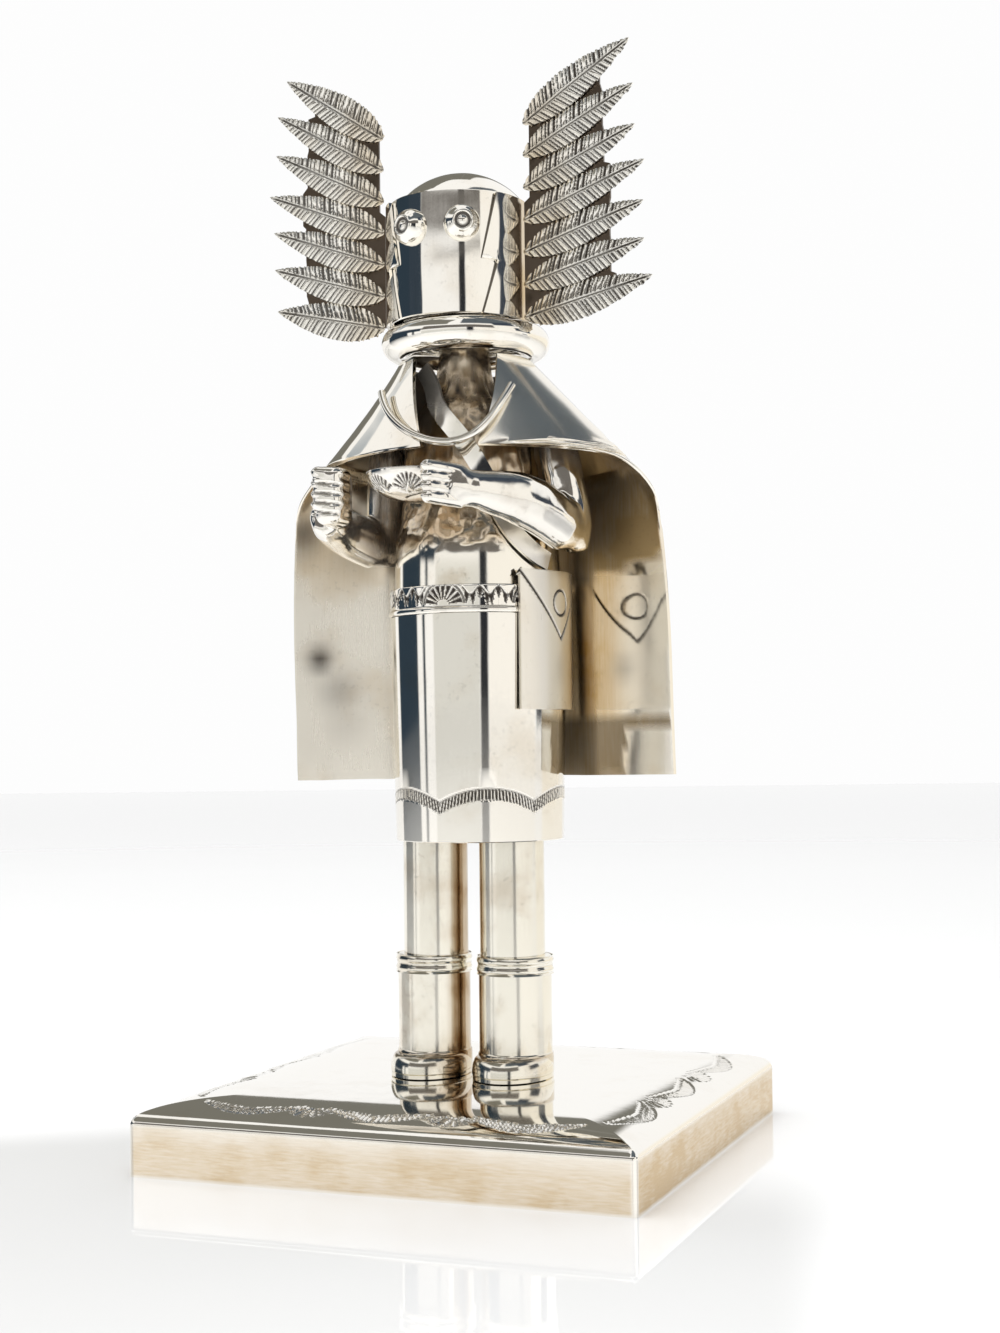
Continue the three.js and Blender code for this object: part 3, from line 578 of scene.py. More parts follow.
def makeBase(spec):
    low, high, _ = boxOf("base")
    half = (high[0] - low[0]) / 2
    profile = baseProfile(spec, half)
    rows = len(profile) - 1

    def place(u, v):
        out, height = profile[np.rint(v * rows).astype(int)].T
        bend = np.clip(spec["corner"] - half + out, 1e-6, None)  # radius of the corner, nothing further in
        straight = out - bend
        run = np.abs(2 * u - 1) * (straight + bend * math.pi / 4)
        turn = np.clip((run - straight) / bend, 0, math.pi / 4)
        along = np.minimum(run, straight) + bend * np.sin(turn)
        return np.stack([np.sign(2 * u - 1) * along, -straight - bend * np.cos(turn), height], 1)

    walls = [gridPiece("baseSide", spec["along"], rows, place) for _ in range(4)]
    for quarter, side in enumerate(walls):
        turnInto(side, Matrix.Rotation(quarter * math.pi / 2, 4, "Z"))
    base = joinPieces("baseShell", *walls)
    bpy.ops.object.mode_set(mode="EDIT")
    bpy.ops.mesh.select_all(action="SELECT")
    bpy.ops.mesh.remove_doubles(threshold=spec["gap"] * mm)
    bpy.ops.mesh.select_all(action="DESELECT")
    bpy.ops.mesh.select_non_manifold()
    bpy.ops.mesh.fill_holes(sides=0)
    tidyMesh()
    across, deep, height = pointsOf(base).T
    front = np.abs(deep) > np.abs(across)  # the front and back sides
    right = ~front & (across > 0)
    out = np.where(front, np.abs(deep), np.abs(across))
    along = np.where(front, across * -np.sign(deep), deep * np.sign(across))
    # painted light: on the right and far sides the stamps are shallower and their oxide paler, as if washed
    # out by glare
    washedOut = np.where(right, spec["rightDepth"], spec["farDepth"])
    washedOut = np.where(front & (deep < 0), spec["frontDepth"], washedOut)
    press(base, borderStamp(spec, along, out) * (height > spec["wall"]) * washedOut, spec["depth"], spec["oxide"])
    # the wall's warm tarnish, with painted shade deepening it on the right wall and painted light paling it
    # towards the top; corners and foot stay bare
    wall = 1 - ramp(height, spec["wall"] - spec["lip"], spec["wall"] + spec["lip"])
    wall *= ramp(half - np.abs(along), *spec["bareCorner"]) * ramp(height, *spec["bareFoot"])
    pale = spec["paleTop"] * ramp(height, spec["paleFrom"], spec["wall"])
    mark(base, "warm", wall * (spec["warm"] + spec["warmRight"] * right - pale))
    mark(base, "dull", spec["dull"] * wall)
    handOver(base, baseSilver, "base", degrees=30)


makeBase(baseSpec)
print("base ready")


# Boots, cuffs and legs

bootSpec = {"radius": 7.5, "foot": (8.1, 10.4), "footHeight": 4.5, "steps": 96,
            "sole": [(0, 0), (0.95, 0), (0.985, 0.2), (0.985, 0.9), (0.97, 1.0)],  # share of the foot, height
            "welt": 1.2, "toe": 0.86, "toeRows": 14, "shaftFoot": 1.0,
            "collar": [(0.25, 0), (0.18, 0.35), (0, 0.6)], "lip": 0.2,
            "corner": (0.15, 0.6), "cornerWarm": 0.5, "between": (2.2, 0.4, 1.8), "betweenShade": 0.75}
cuffSpec = {"ridge": 0.45, "dip": 0.126, "seam": 0.15, "rows": 15, "ridges": 2}
legSpec = {"rows": 24, "steps": 96, "ripple": (7, 0.05), "between": (1.9, 0.4, 1.8), "betweenShade": 0.8,
           "top": (60, 65), "underHemShade": 0.4}


def shadeBetweenLegs(places, name, spec):
    # a stripe of painted shade on the side that faces the other leg
    middle, half, soft = spec["between"]
    return spec["betweenShade"] * within(places[:, 0] * sides[name] - middle, half, soft)


def makeBoot(name, spec):
    low, high, centre = boxOf("boot_" + name)
    axis = boxOf("boot_cuff_" + name)[2]
    floor, top, radius, lip = low[2], high[2], spec["radius"], spec["lip"]
    collar = floor + spec["footHeight"]
    outline = [(share, floor + height) for share, height in spec["sole"]]
    outline += [(spec["toe"] + (1 - spec["toe"]) * math.cos(turn),
                 floor + spec["welt"] + (spec["footHeight"] - spec["welt"]) * math.sin(turn))
                for turn in np.linspace(0, math.pi / 2, spec["toeRows"])]
    outline.append((0, collar))
    foot = spunPiece("foot", outline, spec["steps"])
    places = pointsOf(foot)
    places[:, :2] = centre[:2] + places[:, :2] * spec["foot"]
    movePoints(foot, places)
    below = floor + spec["shaftFoot"]
    outline = [(0, below), (radius + spec["collar"][0][0], below)]
    outline += [(radius + out, collar + rise) for out, rise in spec["collar"]]
    outline += [(radius, (collar + top) / 2), (radius, top - lip), (radius - lip, top), (0, top)]
    shaft = spunPiece("shaft", outline, spec["steps"], axis)
    boot = joinPieces("boot_piece_" + name, foot, shaft)
    places = pointsOf(boot)
    corner = within(places[:, 2] - collar, *spec["corner"]) * ramp(np.abs(places[:, 0] - axis[0]), 0, 1)
    mark(boot, "warm", spec["cornerWarm"] * corner + shadeBetweenLegs(places, name, spec))
    handOver(boot, legSilver, "boot_" + name)


def makeCuff(name, spec):
    low, high, axis = boxOf("boot_cuff_" + name)
    inner, outer = bootSpec["radius"] + spec["seam"], bootSpec["radius"] + spec["ridge"]
    heights = np.linspace(low[2], high[2], spec["rows"])
    dips = 1 + np.cos(np.linspace(0, 2 * math.pi * spec["ridges"], spec["rows"]))
    dips[[0, -1]] = 0  # the edges of the strip stand full
    ridges = zip(outer - spec["dip"] * dips, heights)
    outline = [(inner, low[2]), *ridges, (inner, high[2]), (inner, low[2])]
    cuff = spunPiece("cuff_piece_" + name, outline, bootSpec["steps"], axis)
    handOver(cuff, legSilver, "boot_cuff_" + name)


def makeLeg(name, spec):
    low, high, centre = boxOf("leg_" + name)
    radius = (high[0] - low[0]) / 2
    tube = [(radius, height) for height in np.linspace(low[2], high[2], spec["rows"])]
    leg = spunPiece("leg_piece_" + name, [(0, low[2]), *tube, (0, high[2])], spec["steps"], centre)
    ripple(leg, *spec["ripple"])
    places = pointsOf(leg)
    # painted shade at the top of the leg, under the kilt's hem, added to the painted shade between the legs
    mark(leg, "warm", shadeBetweenLegs(places, name, spec) + spec["underHemShade"] * ramp(places[:, 2], *spec["top"]))
    handOver(leg, legSilver, "leg_" + name)


for name in sides:
    makeBoot(name, bootSpec)
    makeCuff(name, cuffSpec)
    makeLeg(name, legSpec)
print("boots and legs ready")


# Kilt with a stamped hem, belt with a stamped border

kiltSpec = {"hem": 62.0, "hemRadius": 17.4, "wall": 0.8, "floor": 65.0, "top": 107.85, "topRadius": 18.3,
            "steps": 720, "innerBevel": 0.1, "outerBevel": 0.15, "rim": 0.7, "plainRow": 2.0,
            "stampBelow": 2.8, "stampAbove": 0.6, "stampRow": 0.24, "plainRows": 10,
            "scallop": 66.0, "firstCusp": -5.7, "cusp": 70.0, "crest": 72.7, "tickHigh": 2.1, "tick": 0.68,
            "tickLine": (0.17, 0.2), "tickLean": 0.45, "crestLine": (0.08, 0.2), "crestDepth": 0.5,
            "edge": 0.1, "skin": 0.3, "depth": 0.28}
beltSpec = {"bead": 1.2, "beadOut": 0.25, "beadLift": 0.05, "beadRows": 9, "thick": 0.6, "tuck": 0.15,
            "row": 0.17, "rowFrom": 0.1, "rowTo": 0.12, "lip": 0.1, "skin": 0.05, "steps": 600,
            "fans": 6, "fanFrom": -1.0, "fanFoot": 0.35,
            "fan": {"pitch": 19, "spread": 85.5, "petal": 0.12, "flare": 0.18, "soft": 0.1,
                    "reach": 2.7, "half": 1.3},
            "lobes": 2.5, "waveDrop": 1.3, "waveHigh": 0.8, "waveLine": (0.12, 0.22), "waveFrom": 4,
            "tooth": 1.4, "toothLong": 2.2, "toothHalf": 0.42, "toothGap": 0.06, "toothSoft": 0.1,
            "toothFrom": 4.6,
            "arch": 4.5, "archHigh": 0.95, "archLine": (0.12, 0.2), "archFoot": 0.4,
            "lineDepth": 0.8, "depth": 0.28}


def makeKilt(spec):
    _, high, centre = boxOf("kilt")
    hem, top, hemRadius, under = spec["hem"], spec["top"], spec["hemRadius"], high[2]
    slope = (spec["topRadius"] - hemRadius) / (top - hem)

    def skin(height):
        return hemRadius + slope * (height - hem), height

    lowest, highest = spec["cusp"] - spec["stampBelow"], spec["crest"] + spec["stampAbove"]
    stamped = np.arange(lowest, highest, spec["stampRow"])
    plain = np.linspace(stamped[-1], top, spec["plainRows"])[1:]
    inner, rim = hemRadius - spec["wall"], spec["topRadius"] - spec["rim"]
    profile = [(0, spec["floor"]), (inner, spec["floor"]), (inner, hem + spec["innerBevel"]),
               (inner + spec["innerBevel"], hem), (hemRadius - spec["outerBevel"], hem)]
    rows = (hem + spec["outerBevel"], hem + spec["plainRow"], *stamped, *plain)
    profile += [skin(height) for height in rows]
    profile += [(rim, top), (rim, under), (0, under)]
    kilt = spunPiece("kilt_drum", profile, spec["steps"], centre)
    places = pointsOf(kilt)
    angle = azimuth(places, centre)
    share = inTurn((angle - spec["firstCusp"]) / spec["scallop"])
    crest = spec["crest"] - (spec["crest"] - spec["cusp"]) * (2 * share) ** 2
    over = places[:, 2] - crest
    lean = np.radians(angle) * hemRadius + spec["tickLean"] * share * over
    ticks = within(inTurn(lean / spec["tick"]), *spec["tickLine"])
    band = within(over + spec["tickHigh"] / 2, spec["tickHigh"] / 2 - spec["edge"], 2 * spec["edge"])
    line = within(over - spec["edge"], *spec["crestLine"])
    outside = fromAxis(places, centre) > hemRadius - spec["skin"]
    press(kilt, np.maximum(ticks * band, spec["crestDepth"] * line) * outside, spec["depth"])
    handOver(kilt, polished, "kilt")


def beltStamp(spec, along, height, low, high, girth):
    # along the belt: a fan under an arch, then hanging teeth under a scalloped line
    step = girth / spec["fans"]
    near = (along - spec["fanFrom"] / 360 * girth + step / 2) % step - step / 2
    foot = low + spec["bead"] + spec["fanFoot"]
    fan = fanStamp(spec["fan"], near, height - foot)
    lobes = inTurn(near / (step / 2) * spec["lobes"])
    wave = high - spec["waveDrop"] - spec["waveHigh"] * np.cos(2 * math.pi * lobes)
    line = within(height - wave, *spec["waveLine"]) * (np.abs(near) > spec["waveFrom"])
    point = np.clip((height - wave + spec["toothLong"]) / spec["toothLong"], 0, 1)
    half = spec["toothHalf"] * point - spec["toothGap"]
    teeth = within(inTurn(near / spec["tooth"]), half, spec["toothSoft"])
    teeth = teeth * (height < wave) * (height > foot) * (np.abs(near) > spec["toothFrom"])
    reach = np.hypot(near, (height - foot) * spec["archHigh"])
    arch = within(reach - spec["arch"], *spec["archLine"]) * (height > foot + spec["archFoot"])
    return np.maximum.reduce([fan, spec["lineDepth"] * line, teeth, spec["lineDepth"] * arch])


def makeBelt(spec):
    low, high, centre = boxOf("belt")
    foot, top, bead = low[2], high[2], spec["bead"]
    radius = (high[0] - low[0]) / 2 - spec["beadOut"]
    inner = radius - spec["thick"] + spec["tuck"]
    skin = radius + spec["beadLift"]
    rows = np.arange(foot + bead + spec["rowFrom"], top - spec["rowTo"], spec["row"])
    profile = [(inner, foot)]
    profile += [(skin + spec["beadOut"] * math.sin(turn), foot + bead / 2 * (1 - math.cos(turn)))
                for turn in np.linspace(0, math.pi, spec["beadRows"])]
    profile += [(radius, height) for height in rows]
    profile += [(radius - spec["lip"], top), (inner, top), (inner, foot)]
    belt = spunPiece("belt_strip", profile, spec["steps"], centre)
    places = pointsOf(belt)
    height = places[:, 2]
    along = np.radians(azimuth(places, centre)) * radius
    outside = (fromAxis(places, centre) > radius - spec["skin"]) * (height > foot + bead)
    press(belt, beltStamp(spec, along, height, foot, top, 2 * math.pi * radius) * outside, spec["depth"])
    handOver(belt, polished, "belt")


makeKilt(kiltSpec)
makeBelt(beltSpec)
print("kilt and belt ready")


# Pouch with an engraved flap and button

pouchSpec = {"from": 47.5, "to": 115.0, "inner": 18.65, "outer": 19.6, "across": 110, "up": 150,
             "point": 102.9, "flapTop": 0.3, "flapSlant": 0.62, "button": 110.2, "buttonRadius": 2.55,
             "line": (0.16, 0.16), "depth": 0.3, "edge": 0.16, "warm": 0.09, "dull": 0.75}


def makePouch(spec):
    low, high, _ = boxOf("pouch")
    axis = boxOf("kilt")[2]
    outer = spec["outer"]

    def place(u, v):
        turn = np.radians(spec["from"] + (spec["to"] - spec["from"]) * u)
        height = low[2] + (high[2] - low[2]) * v
        return np.stack([axis[0] + outer * np.sin(turn), axis[1] - outer * np.cos(turn), height], 1)

    pouch = gridPiece("pouch_plate", spec["across"], spec["up"], place)
    places = pointsOf(pouch)
    height = places[:, 2]
    middle = (spec["from"] + spec["to"]) / 2
    across = np.radians(azimuth(places, axis) - middle) * outer
    halfWidth = np.radians(spec["to"] - middle) * outer
    flap = spec["point"] + (high[2] - spec["flapTop"] - spec["point"]) * np.abs(across) / halfWidth
    lines = within((height - flap) * spec["flapSlant"], *spec["line"])
    button = within(np.hypot(across, height - spec["button"]) - spec["buttonRadius"], *spec["line"])
    press(pouch, np.maximum(lines, button), spec["depth"])
    applyModifier(pouch, "SOLIDIFY", thickness=(outer - spec["inner"]) * mm, offset=-1)
    softEdges(pouch, spec["edge"])
    for kind in ("warm", "dull"):
        mark(pouch, kind, np.full(len(pouch.data.vertices), spec[kind]))
    handOver(pouch, capeSilver, "pouch")


makePouch(pouchSpec)
print("pouch ready")


# Torso with its rough upper body, and the strap over it

torsoSpec = {"levels": 3, "rough": (120.5, 123.5), "neck": (138, 148), "top": (156, 162), "topSmooth": 0.6,
             "lumps": (3.4, 1.2), "grain": (1.2, 0.2), "groove": (-0.01, 0.07), "grooveRounds": 5,
             "warm": 0.68, "neckWarm": 0.1, "grooveWarm": 0.4, "dull": 0.3,
             "grooveDark": 0.6, "neckGroove": 0.35, "neckDark": 0.22}
strapSpec = {"levels": 2, "top": (147, 152), "topShade": 0.75, "foot": (128, 134), "footDull": 0.9}


def makeTorso(spec):
    torso = refined("torso", "torso_body", spec["levels"])
    height = pointsOf(torso)[:, 2]
    rough = ramp(height, *spec["rough"]) * (1 - spec["topSmooth"] * ramp(height, *spec["top"]))
    ripple(torso, *spec["lumps"], rough)
    ripple(torso, *spec["grain"], rough)
    groove = rough * ramp(hollows(torso, spec["grooveRounds"]), *spec["groove"])
    # painted shade on the neck under the collar ring: warmer, with darker grooves and a darker rough skin
    # towards the top
    neck = ramp(pointsOf(torso)[:, 2], *spec["neck"])
    mark(torso, "warm", rough * (spec["warm"] + spec["neckWarm"] * neck) + spec["grooveWarm"] * groove)
    mark(torso, "dull", spec["dull"] * rough)
    dark = (spec["grooveDark"] + spec["neckGroove"] * neck) * groove
    mark(torso, "dark", dark + spec["neckDark"] * rough * neck)
    handOver(torso, torsoSilver, "torso", degrees=60)


def makeStrap(spec):
    strap = refined("shoulder_strap", "strap_band", spec["levels"])
    height = pointsOf(strap)[:, 2]
    # painted shade at the top of the strap, under the collar and the cape
    mark(strap, "dark", spec["topShade"] * ramp(height, *spec["top"]))
    mark(strap, "dull", spec["footDull"] * (1 - ramp(height, *spec["foot"])))
    handOver(strap, polished, "shoulder_strap", degrees=50)


makeTorso(torsoSpec)
makeStrap(strapSpec)
print("torso ready")


# Cast arms, the right with a fist and the left with an open hand

armSpec = {"voxel": 0.3, "swell": 0.32, "ripple": (5, 0.12), "armRounds": 70,
           "handRounds": {"right": 34, "left": 10},
           "wrist": {"right": (1, -17.5, -14.5), "left": (0, 8.5, 11.5)},  # axis, then from hand to arm
           "shade": {"right": (131.0, 136.0), "left": (136.0, 144.0)}, "shadeBack": (-13, -8),
           "groove": (0.03, 0.12), "grooveRounds": 3, "grooveDark": 0.9, "shadeDark": 0.6,
           "corner": (0.01, 0.06), "cornerRounds": 10, "cornerWarm": 0.4, "shadeWarm": 0.8,
           "fist": {"first": 128.2, "pitch": 1.95, "count": 4, "line": (0.1, 0.34), "depth": 0.4,
                    "slope": 0.12, "middle": -20, "front": (19.5, 21.5),
                    "facing": (-0.2, -0.98, 0), "facingFrom": (0.1, 0.5),
                    "shadeAcross": (-22.5, -18.5), "shadeBack": (-19, -13)}}


def fingerLines(arm, spec):
    # grooves between the fingers, across the front of the fist alone
    across, deep, height = pointsOf(arm).T
    height = height + spec["slope"] * (across - spec["middle"])
    lines = [within(height - spec["first"] - spec["pitch"] * step, *spec["line"])
             for step in range(spec["count"])]
    front = ramp(-deep, *spec["front"])
    front = front * ramp(normalsOf(arm) @ np.array(spec["facing"]), *spec["facingFrom"])
    return np.maximum.reduce(lines) * front


def makeArm(name, spec):
    arm = refined("arm_" + name, "arm_cast_" + name)
    applyModifier(arm, "REMESH", mode="VOXEL", voxel_size=spec["voxel"] * mm)
    applyModifier(arm, "DISPLACE", strength=spec["swell"] * mm, mid_level=0)
    fist = spec["fist"]
    axis, handEnd, armEnd = spec["wrist"][name]
    hand = 1 - ramp(pointsOf(arm)[:, axis], handEnd, armEnd)
    smoothPoints(arm, spec["armRounds"], 1 - hand)
    smoothPoints(arm, spec["handRounds"][name], hand)
    ripple(arm, *spec["ripple"])
    if name == "right":
        press(arm, hand * fingerLines(arm, fist), fist["depth"])
    across, deep, height = pointsOf(arm).T
    behind = ramp(height, *spec["shade"][name]) * ramp(deep, *spec["shadeBack"])
    if name == "right":
        inner = ramp(across, *fist["shadeAcross"]) * ramp(deep, *fist["shadeBack"])
        behind = np.maximum(behind, inner)
    groove = ramp(hollows(arm, spec["grooveRounds"]), *spec["groove"])
    corner = ramp(hollows(arm, spec["cornerRounds"]), *spec["corner"])
    mark(arm, "dark", spec["grooveDark"] * groove + spec["shadeDark"] * behind)
    mark(arm, "warm", spec["cornerWarm"] * corner + spec["shadeWarm"] * behind)
    handOver(arm, castSilver, "arm_" + name, degrees=60)


for name in sides:
    makeArm(name, armSpec)
print("arms ready")


# Bowl with fans stamped round its outside

bowlSpec = {"wall": 0.8, "steps": 240, "rows": 34, "skin": 0.1, "fans": 8, "fanFoot": 4.5,
            "fan": {"pitch": 17, "spread": 72, "petal": 0.18, "flare": 0, "soft": 0.16,
                    "reach": 2.1, "half": 1.1},
            "depth": 0.24, "edge": 0.12, "warm": 0.35, "warmFrom": 3}


def makeBowl(spec):
    low, high, centre = boxOf("bowl")
    radius, deep, rim = (high[0] - low[0]) / 2, high[2] - low[2], high[2]

    def arc(reach, drop):
        return [(reach * math.sin(turn), rim - drop * math.cos(turn))
                for turn in np.linspace(0, math.pi / 2, spec["rows"])]

    inside = arc(radius - spec["wall"], deep - spec["wall"])
    bowl = spunPiece("bowl_dish", arc(radius, deep) + inside[::-1], spec["steps"], centre)
    places = pointsOf(bowl)
    out = fromAxis(places, centre)
    skin = radius * np.sqrt(np.clip(1 - ((rim - places[:, 2]) / deep) ** 2, 0, 1))
    outside = np.abs(out - skin) < spec["skin"]
    step = 360 / spec["fans"]
    near = np.radians((azimuth(places, centre) + step / 4) % step - step / 2) * out
    fan = fanStamp(spec["fan"], near, places[:, 2] - (rim - spec["fanFoot"]))
    press(bowl, fan * outside, spec["depth"])
    softEdges(bowl, spec["edge"])
    mark(bowl, "warm", spec["warm"] * ramp(pointsOf(bowl)[:, 2], rim - spec["warmFrom"], rim - deep))
    handOver(bowl, castSilver, "bowl")


makeBowl(bowlSpec)
print("bowl ready")


# Cape, one bent sheet, tied with a wire

capeSpec = {"levels": 3, "shoulder": (22, 30), "shoulderHeight": (135.5, 6.5, 4), "shoulderRounds": 24,
            "ripple": (16, 0.4), "calm": 0.75, "middle": (0, 6.0), "facingIn": (0.1, 0.4), "left": (4, 16),
            "shade": (108.0, 128.0), "napeShade": (141, 148), "flap": (138, 142), "hip": (22.6, 24.4),
            "gold": (25.5, 33), "low": (32, 35), "lowTop": (98, 103),
            # painted reflection and shade on the inside of the cape: dark above and below the pouch's height,
            # but for a brighter patch low down
            "byPouch": {"top": 115.6, "topSoft": 1.2, "topSlope": 0.25, "topFrom": 24, "back": (24, 12),
                        "foot": (86.7, 87.6), "patchFrom": 30.2, "patchSoft": 0.3, "patchTop": (85.0, 85.8),
                        "patchMiddle": 36, "patchArch": 0.03, "waves": ((0.5, 0.9), (0.3, 2.3))},
            # place, size and strength: the first three a stain and its smear, the next two painted shade
            # under the flap, the last a darker patch
            "spots": [((-38.3, 7.8, 100.3), 2.7, 0.9), ((-34.2, 9.1, 93.5), 4.4, 0.35),
                      ((-33, 9.5, 86), 5, 0.14), ((-41.5, 6.5, 128.0), 5, 0.75),
                      ((-30, 10, 126), 7, 0.4), ((30.5, 9.9, 97), 3, 0.3)],
            "warm": {"right": 0.12, "gold": 0.82, "goldFade": 0.8, "above": 0.7, "below": 0.9, "shade": 0.3},
            "dull": {"right": 0.7, "above": 0.6, "low": 0.3, "flap": 0.45},
            "dark": {"above": 0.46, "below": 0.58, "napeShade": 0.85}}
tieSpec = {"radius": 0.8, "sections": 6, "smooth": 6, "route": [
    (-13.6, -12.6, 153.8), (-12.1, -15.0, 150.4), (-8.8, -17.2, 146.8), (-4, -19.0, 143.4), (3.4, -20, 141),
    (8.9, -19.4, 142.3), (11.9, -17.4, 145.8), (13.7, -14.8, 149.8), (14.8, -12.2, 153.4)]}


# painted reflection and shade of the pouch on the inside of the cape
def shadeByPouch(spec, across, deep, height):
    slanted = height - spec["topSlope"] * (across - spec["topFrom"])
    above = ramp(slanted, spec["top"], spec["top"] + spec["topSoft"]) * ramp(deep, *spec["back"])
    edge = across + sum(size * np.sin(height * beat) for size, beat in spec["waves"])
    patch = ramp(edge, spec["patchFrom"] - spec["patchSoft"], spec["patchFrom"] + spec["patchSoft"])
    arched = height + spec["patchArch"] * (across - spec["patchMiddle"]) ** 2
    patch = patch * (1 - ramp(arched, *spec["patchTop"]))
    return above, (1 - ramp(height, *spec["foot"])) * (1 - patch)


def makeCape(spec):
    cape = refined("cape", "cape_sheet", spec["levels"])
    across, _, height = pointsOf(cape).T
    middle, half, soft = spec["shoulderHeight"]
    shoulder = ramp(np.abs(across), *spec["shoulder"]) * within(height - middle, half, soft)
    smoothPoints(cape, spec["shoulderRounds"], shoulder)
    ripple(cape, *spec["ripple"], 1 - spec["calm"] * ramp(pointsOf(cape)[:, 0], *spec["left"]))
    places, normals = pointsOf(cape), normalsOf(cape)
    across, deep, height = places.T
    outward = places[:, :2] - np.array(spec["middle"])
    outward /= np.linalg.norm(outward, axis=1, keepdims=True) + 1e-6
    inside = ramp(-(normals[:, :2] * outward).sum(1), *spec["facingIn"])
    left = ramp(across, *spec["left"])
    spot = np.zeros(len(places))
    for place, size, share in spec["spots"]:
        spot = np.maximum(spot, share * np.exp(-((np.linalg.norm(places - place, axis=1) / size) ** 2)))
    above, below = shadeByPouch(spec["byPouch"], across, deep, height)
    low = ramp(across, *spec["low"]) * (1 - ramp(height, *spec["lowTop"]))
    hip = 1 - ramp(across, *spec["hip"])
    flap = (1 - inside) * ramp(height, *spec["flap"]) * left
    tone = spec["warm"]
    gold = tone["gold"] - tone["goldFade"] * ramp(across, *spec["gold"])
    warm = left * np.maximum.reduce([gold, tone["above"] * above, tone["below"] * below])
    warm = warm + tone["right"] * (1 - left) + tone["shade"] * ramp(height, *spec["shade"])
    mark(cape, "warm", inside * warm)
    tone = spec["dull"]
    dull = left * np.maximum.reduce([tone["above"] * above, tone["low"] * low, hip])
    mark(cape, "dull", inside * (tone["right"] * (1 - left) + dull) + tone["flap"] * flap)
    tone = spec["dark"]
    dark = left * (tone["above"] * above + tone["below"] * below)
    # painted shade inside the cape at the nape, under the collar
    napeShade = tone["napeShade"] * ramp(height, *spec["napeShade"])
    mark(cape, "dark", inside * np.maximum.reduce([spot, dark, napeShade]))
    handOver(cape, capeSilver, "cape", degrees=45)


def makeTie(spec):
    # a bent wire, as a curve made into a mesh
    deselectAll()
    bpy.ops.curve.primitive_nurbs_path_add()
    tie = bpy.context.object
    tie.name = "cape_tie_wire"
    curve = tie.data
    curve.splines.clear()
    line = curve.splines.new("NURBS")
    line.points.add(len(spec["route"]) - 1)
    for point, spot in zip(line.points, spec["route"]):
        point.co = (*(np.array(spot) * mm), 1)
    line.use_endpoint_u = True
    line.order_u = 4
    line.resolution_u = spec["smooth"]
    curve.bevel_depth = spec["radius"] * mm
    curve.bevel_resolution = spec["sections"]
    curve.use_fill_caps = True
    bpy.ops.object.convert(target="MESH")
    bpy.ops.object.mode_set(mode="EDIT")
    tidyMesh()
    handOver(tie, polished, "cape_tie")


makeCape(capeSpec)
makeTie(tieSpec)
print("cape ready")


# Collar ring, mask, eyes and side plates

ringSpec = {"around": 128, "across": 40, "ripple": (9, 0.2)}
headSpec = {"rim": 0.7, "well": 0.8, "steps": 160, "rows": 24, "footBevel": 0.25, "rimBevel": 0.15,
            "rowFrom": 1.0, "rowTo": 0.4, "ripple": (15, 0.12), "capRows": 24, "capRipple": (8, 0.15)}
eyeSpec = {"profile": [(0, -2), (3.55, -2), (3.7, -0.6), (3.7, 0.3), (3.6, 0.95), (3.35, 1.6), (2.95, 2.1),
                       (2.5, 2.45), (2.25, 2.75), (2.05, 3.05), (1.85, 3.1), (1.68, 3.0), (1.55, 2.65),
                       (1.2, 2.55), (0.75, 2.85), (0.3, 3.0), (0, 3.02)], "steps": 72,
           "pupil": 2.6, "pupilLine": (0.06, 0.12), "groove": (0.02, 0.1), "dark": 0.9}
plateSpec = {"levels": 3, "warm": 0.85, "warmFrom": (70, 86), "dull": 0.6, "dullFrom": (70, 84)}


def makeRing(spec):
    low, high, centre = boxOf("collar_ring")
    thick = (high[2] - low[2]) / 2
    reach = (high[0] - low[0]) / 2 - thick
    deselectAll()
    bpy.ops.mesh.primitive_torus_add(major_segments=spec["around"], minor_segments=spec["across"],
                                     major_radius=reach * mm, minor_radius=thick * mm)
    ring = bpy.context.object
    ring.name = "collar_band"
    turnInto(ring, Matrix.Translation(Vector(centre) * mm))
    ripple(ring, *spec["ripple"])
    handOver(ring, polished, "collar_ring", degrees=60)


def makeHead(spec):
    low, high, centre = boxOf("head_drum")
    foot, top, radius = low[2], high[2], (high[0] - low[0]) / 2
    inner, well, rim = radius - spec["rim"], top - spec["well"], spec["rimBevel"]
    profile = [(0, foot), (radius - spec["footBevel"], foot), (radius, foot + spec["footBevel"])]
    rows = np.linspace(foot + spec["rowFrom"], top - spec["rowTo"], spec["rows"])
    profile += [(radius, height) for height in rows]
    profile += [(radius, top - rim), (radius - rim, top), (inner, top), (inner, well), (0, well)]
    drum = spunPiece("mask_drum", profile, spec["steps"], centre)
    ripple(drum, *spec["ripple"])
    handOver(drum, polished, "head_drum")
    low, high, middle = boxOf("head_cap")
    reach, rise, crown = (high[0] - low[0]) / 2, high[2] - low[2], high[2]
    ball = (reach ** 2 + rise ** 2) / (2 * rise)
    turns = np.linspace(math.asin(reach / ball), 0, spec["capRows"])[:-1]
    dome = [(ball * math.sin(turn), crown - ball * (1 - math.cos(turn))) for turn in turns]
    cap = spunPiece("mask_cap", [(0, well), (reach, well), *dome, (0, crown)], spec["steps"], middle)
    ripple(cap, *spec["capRipple"])
    handOver(cap, polished, "head_cap")
    return centre, radius


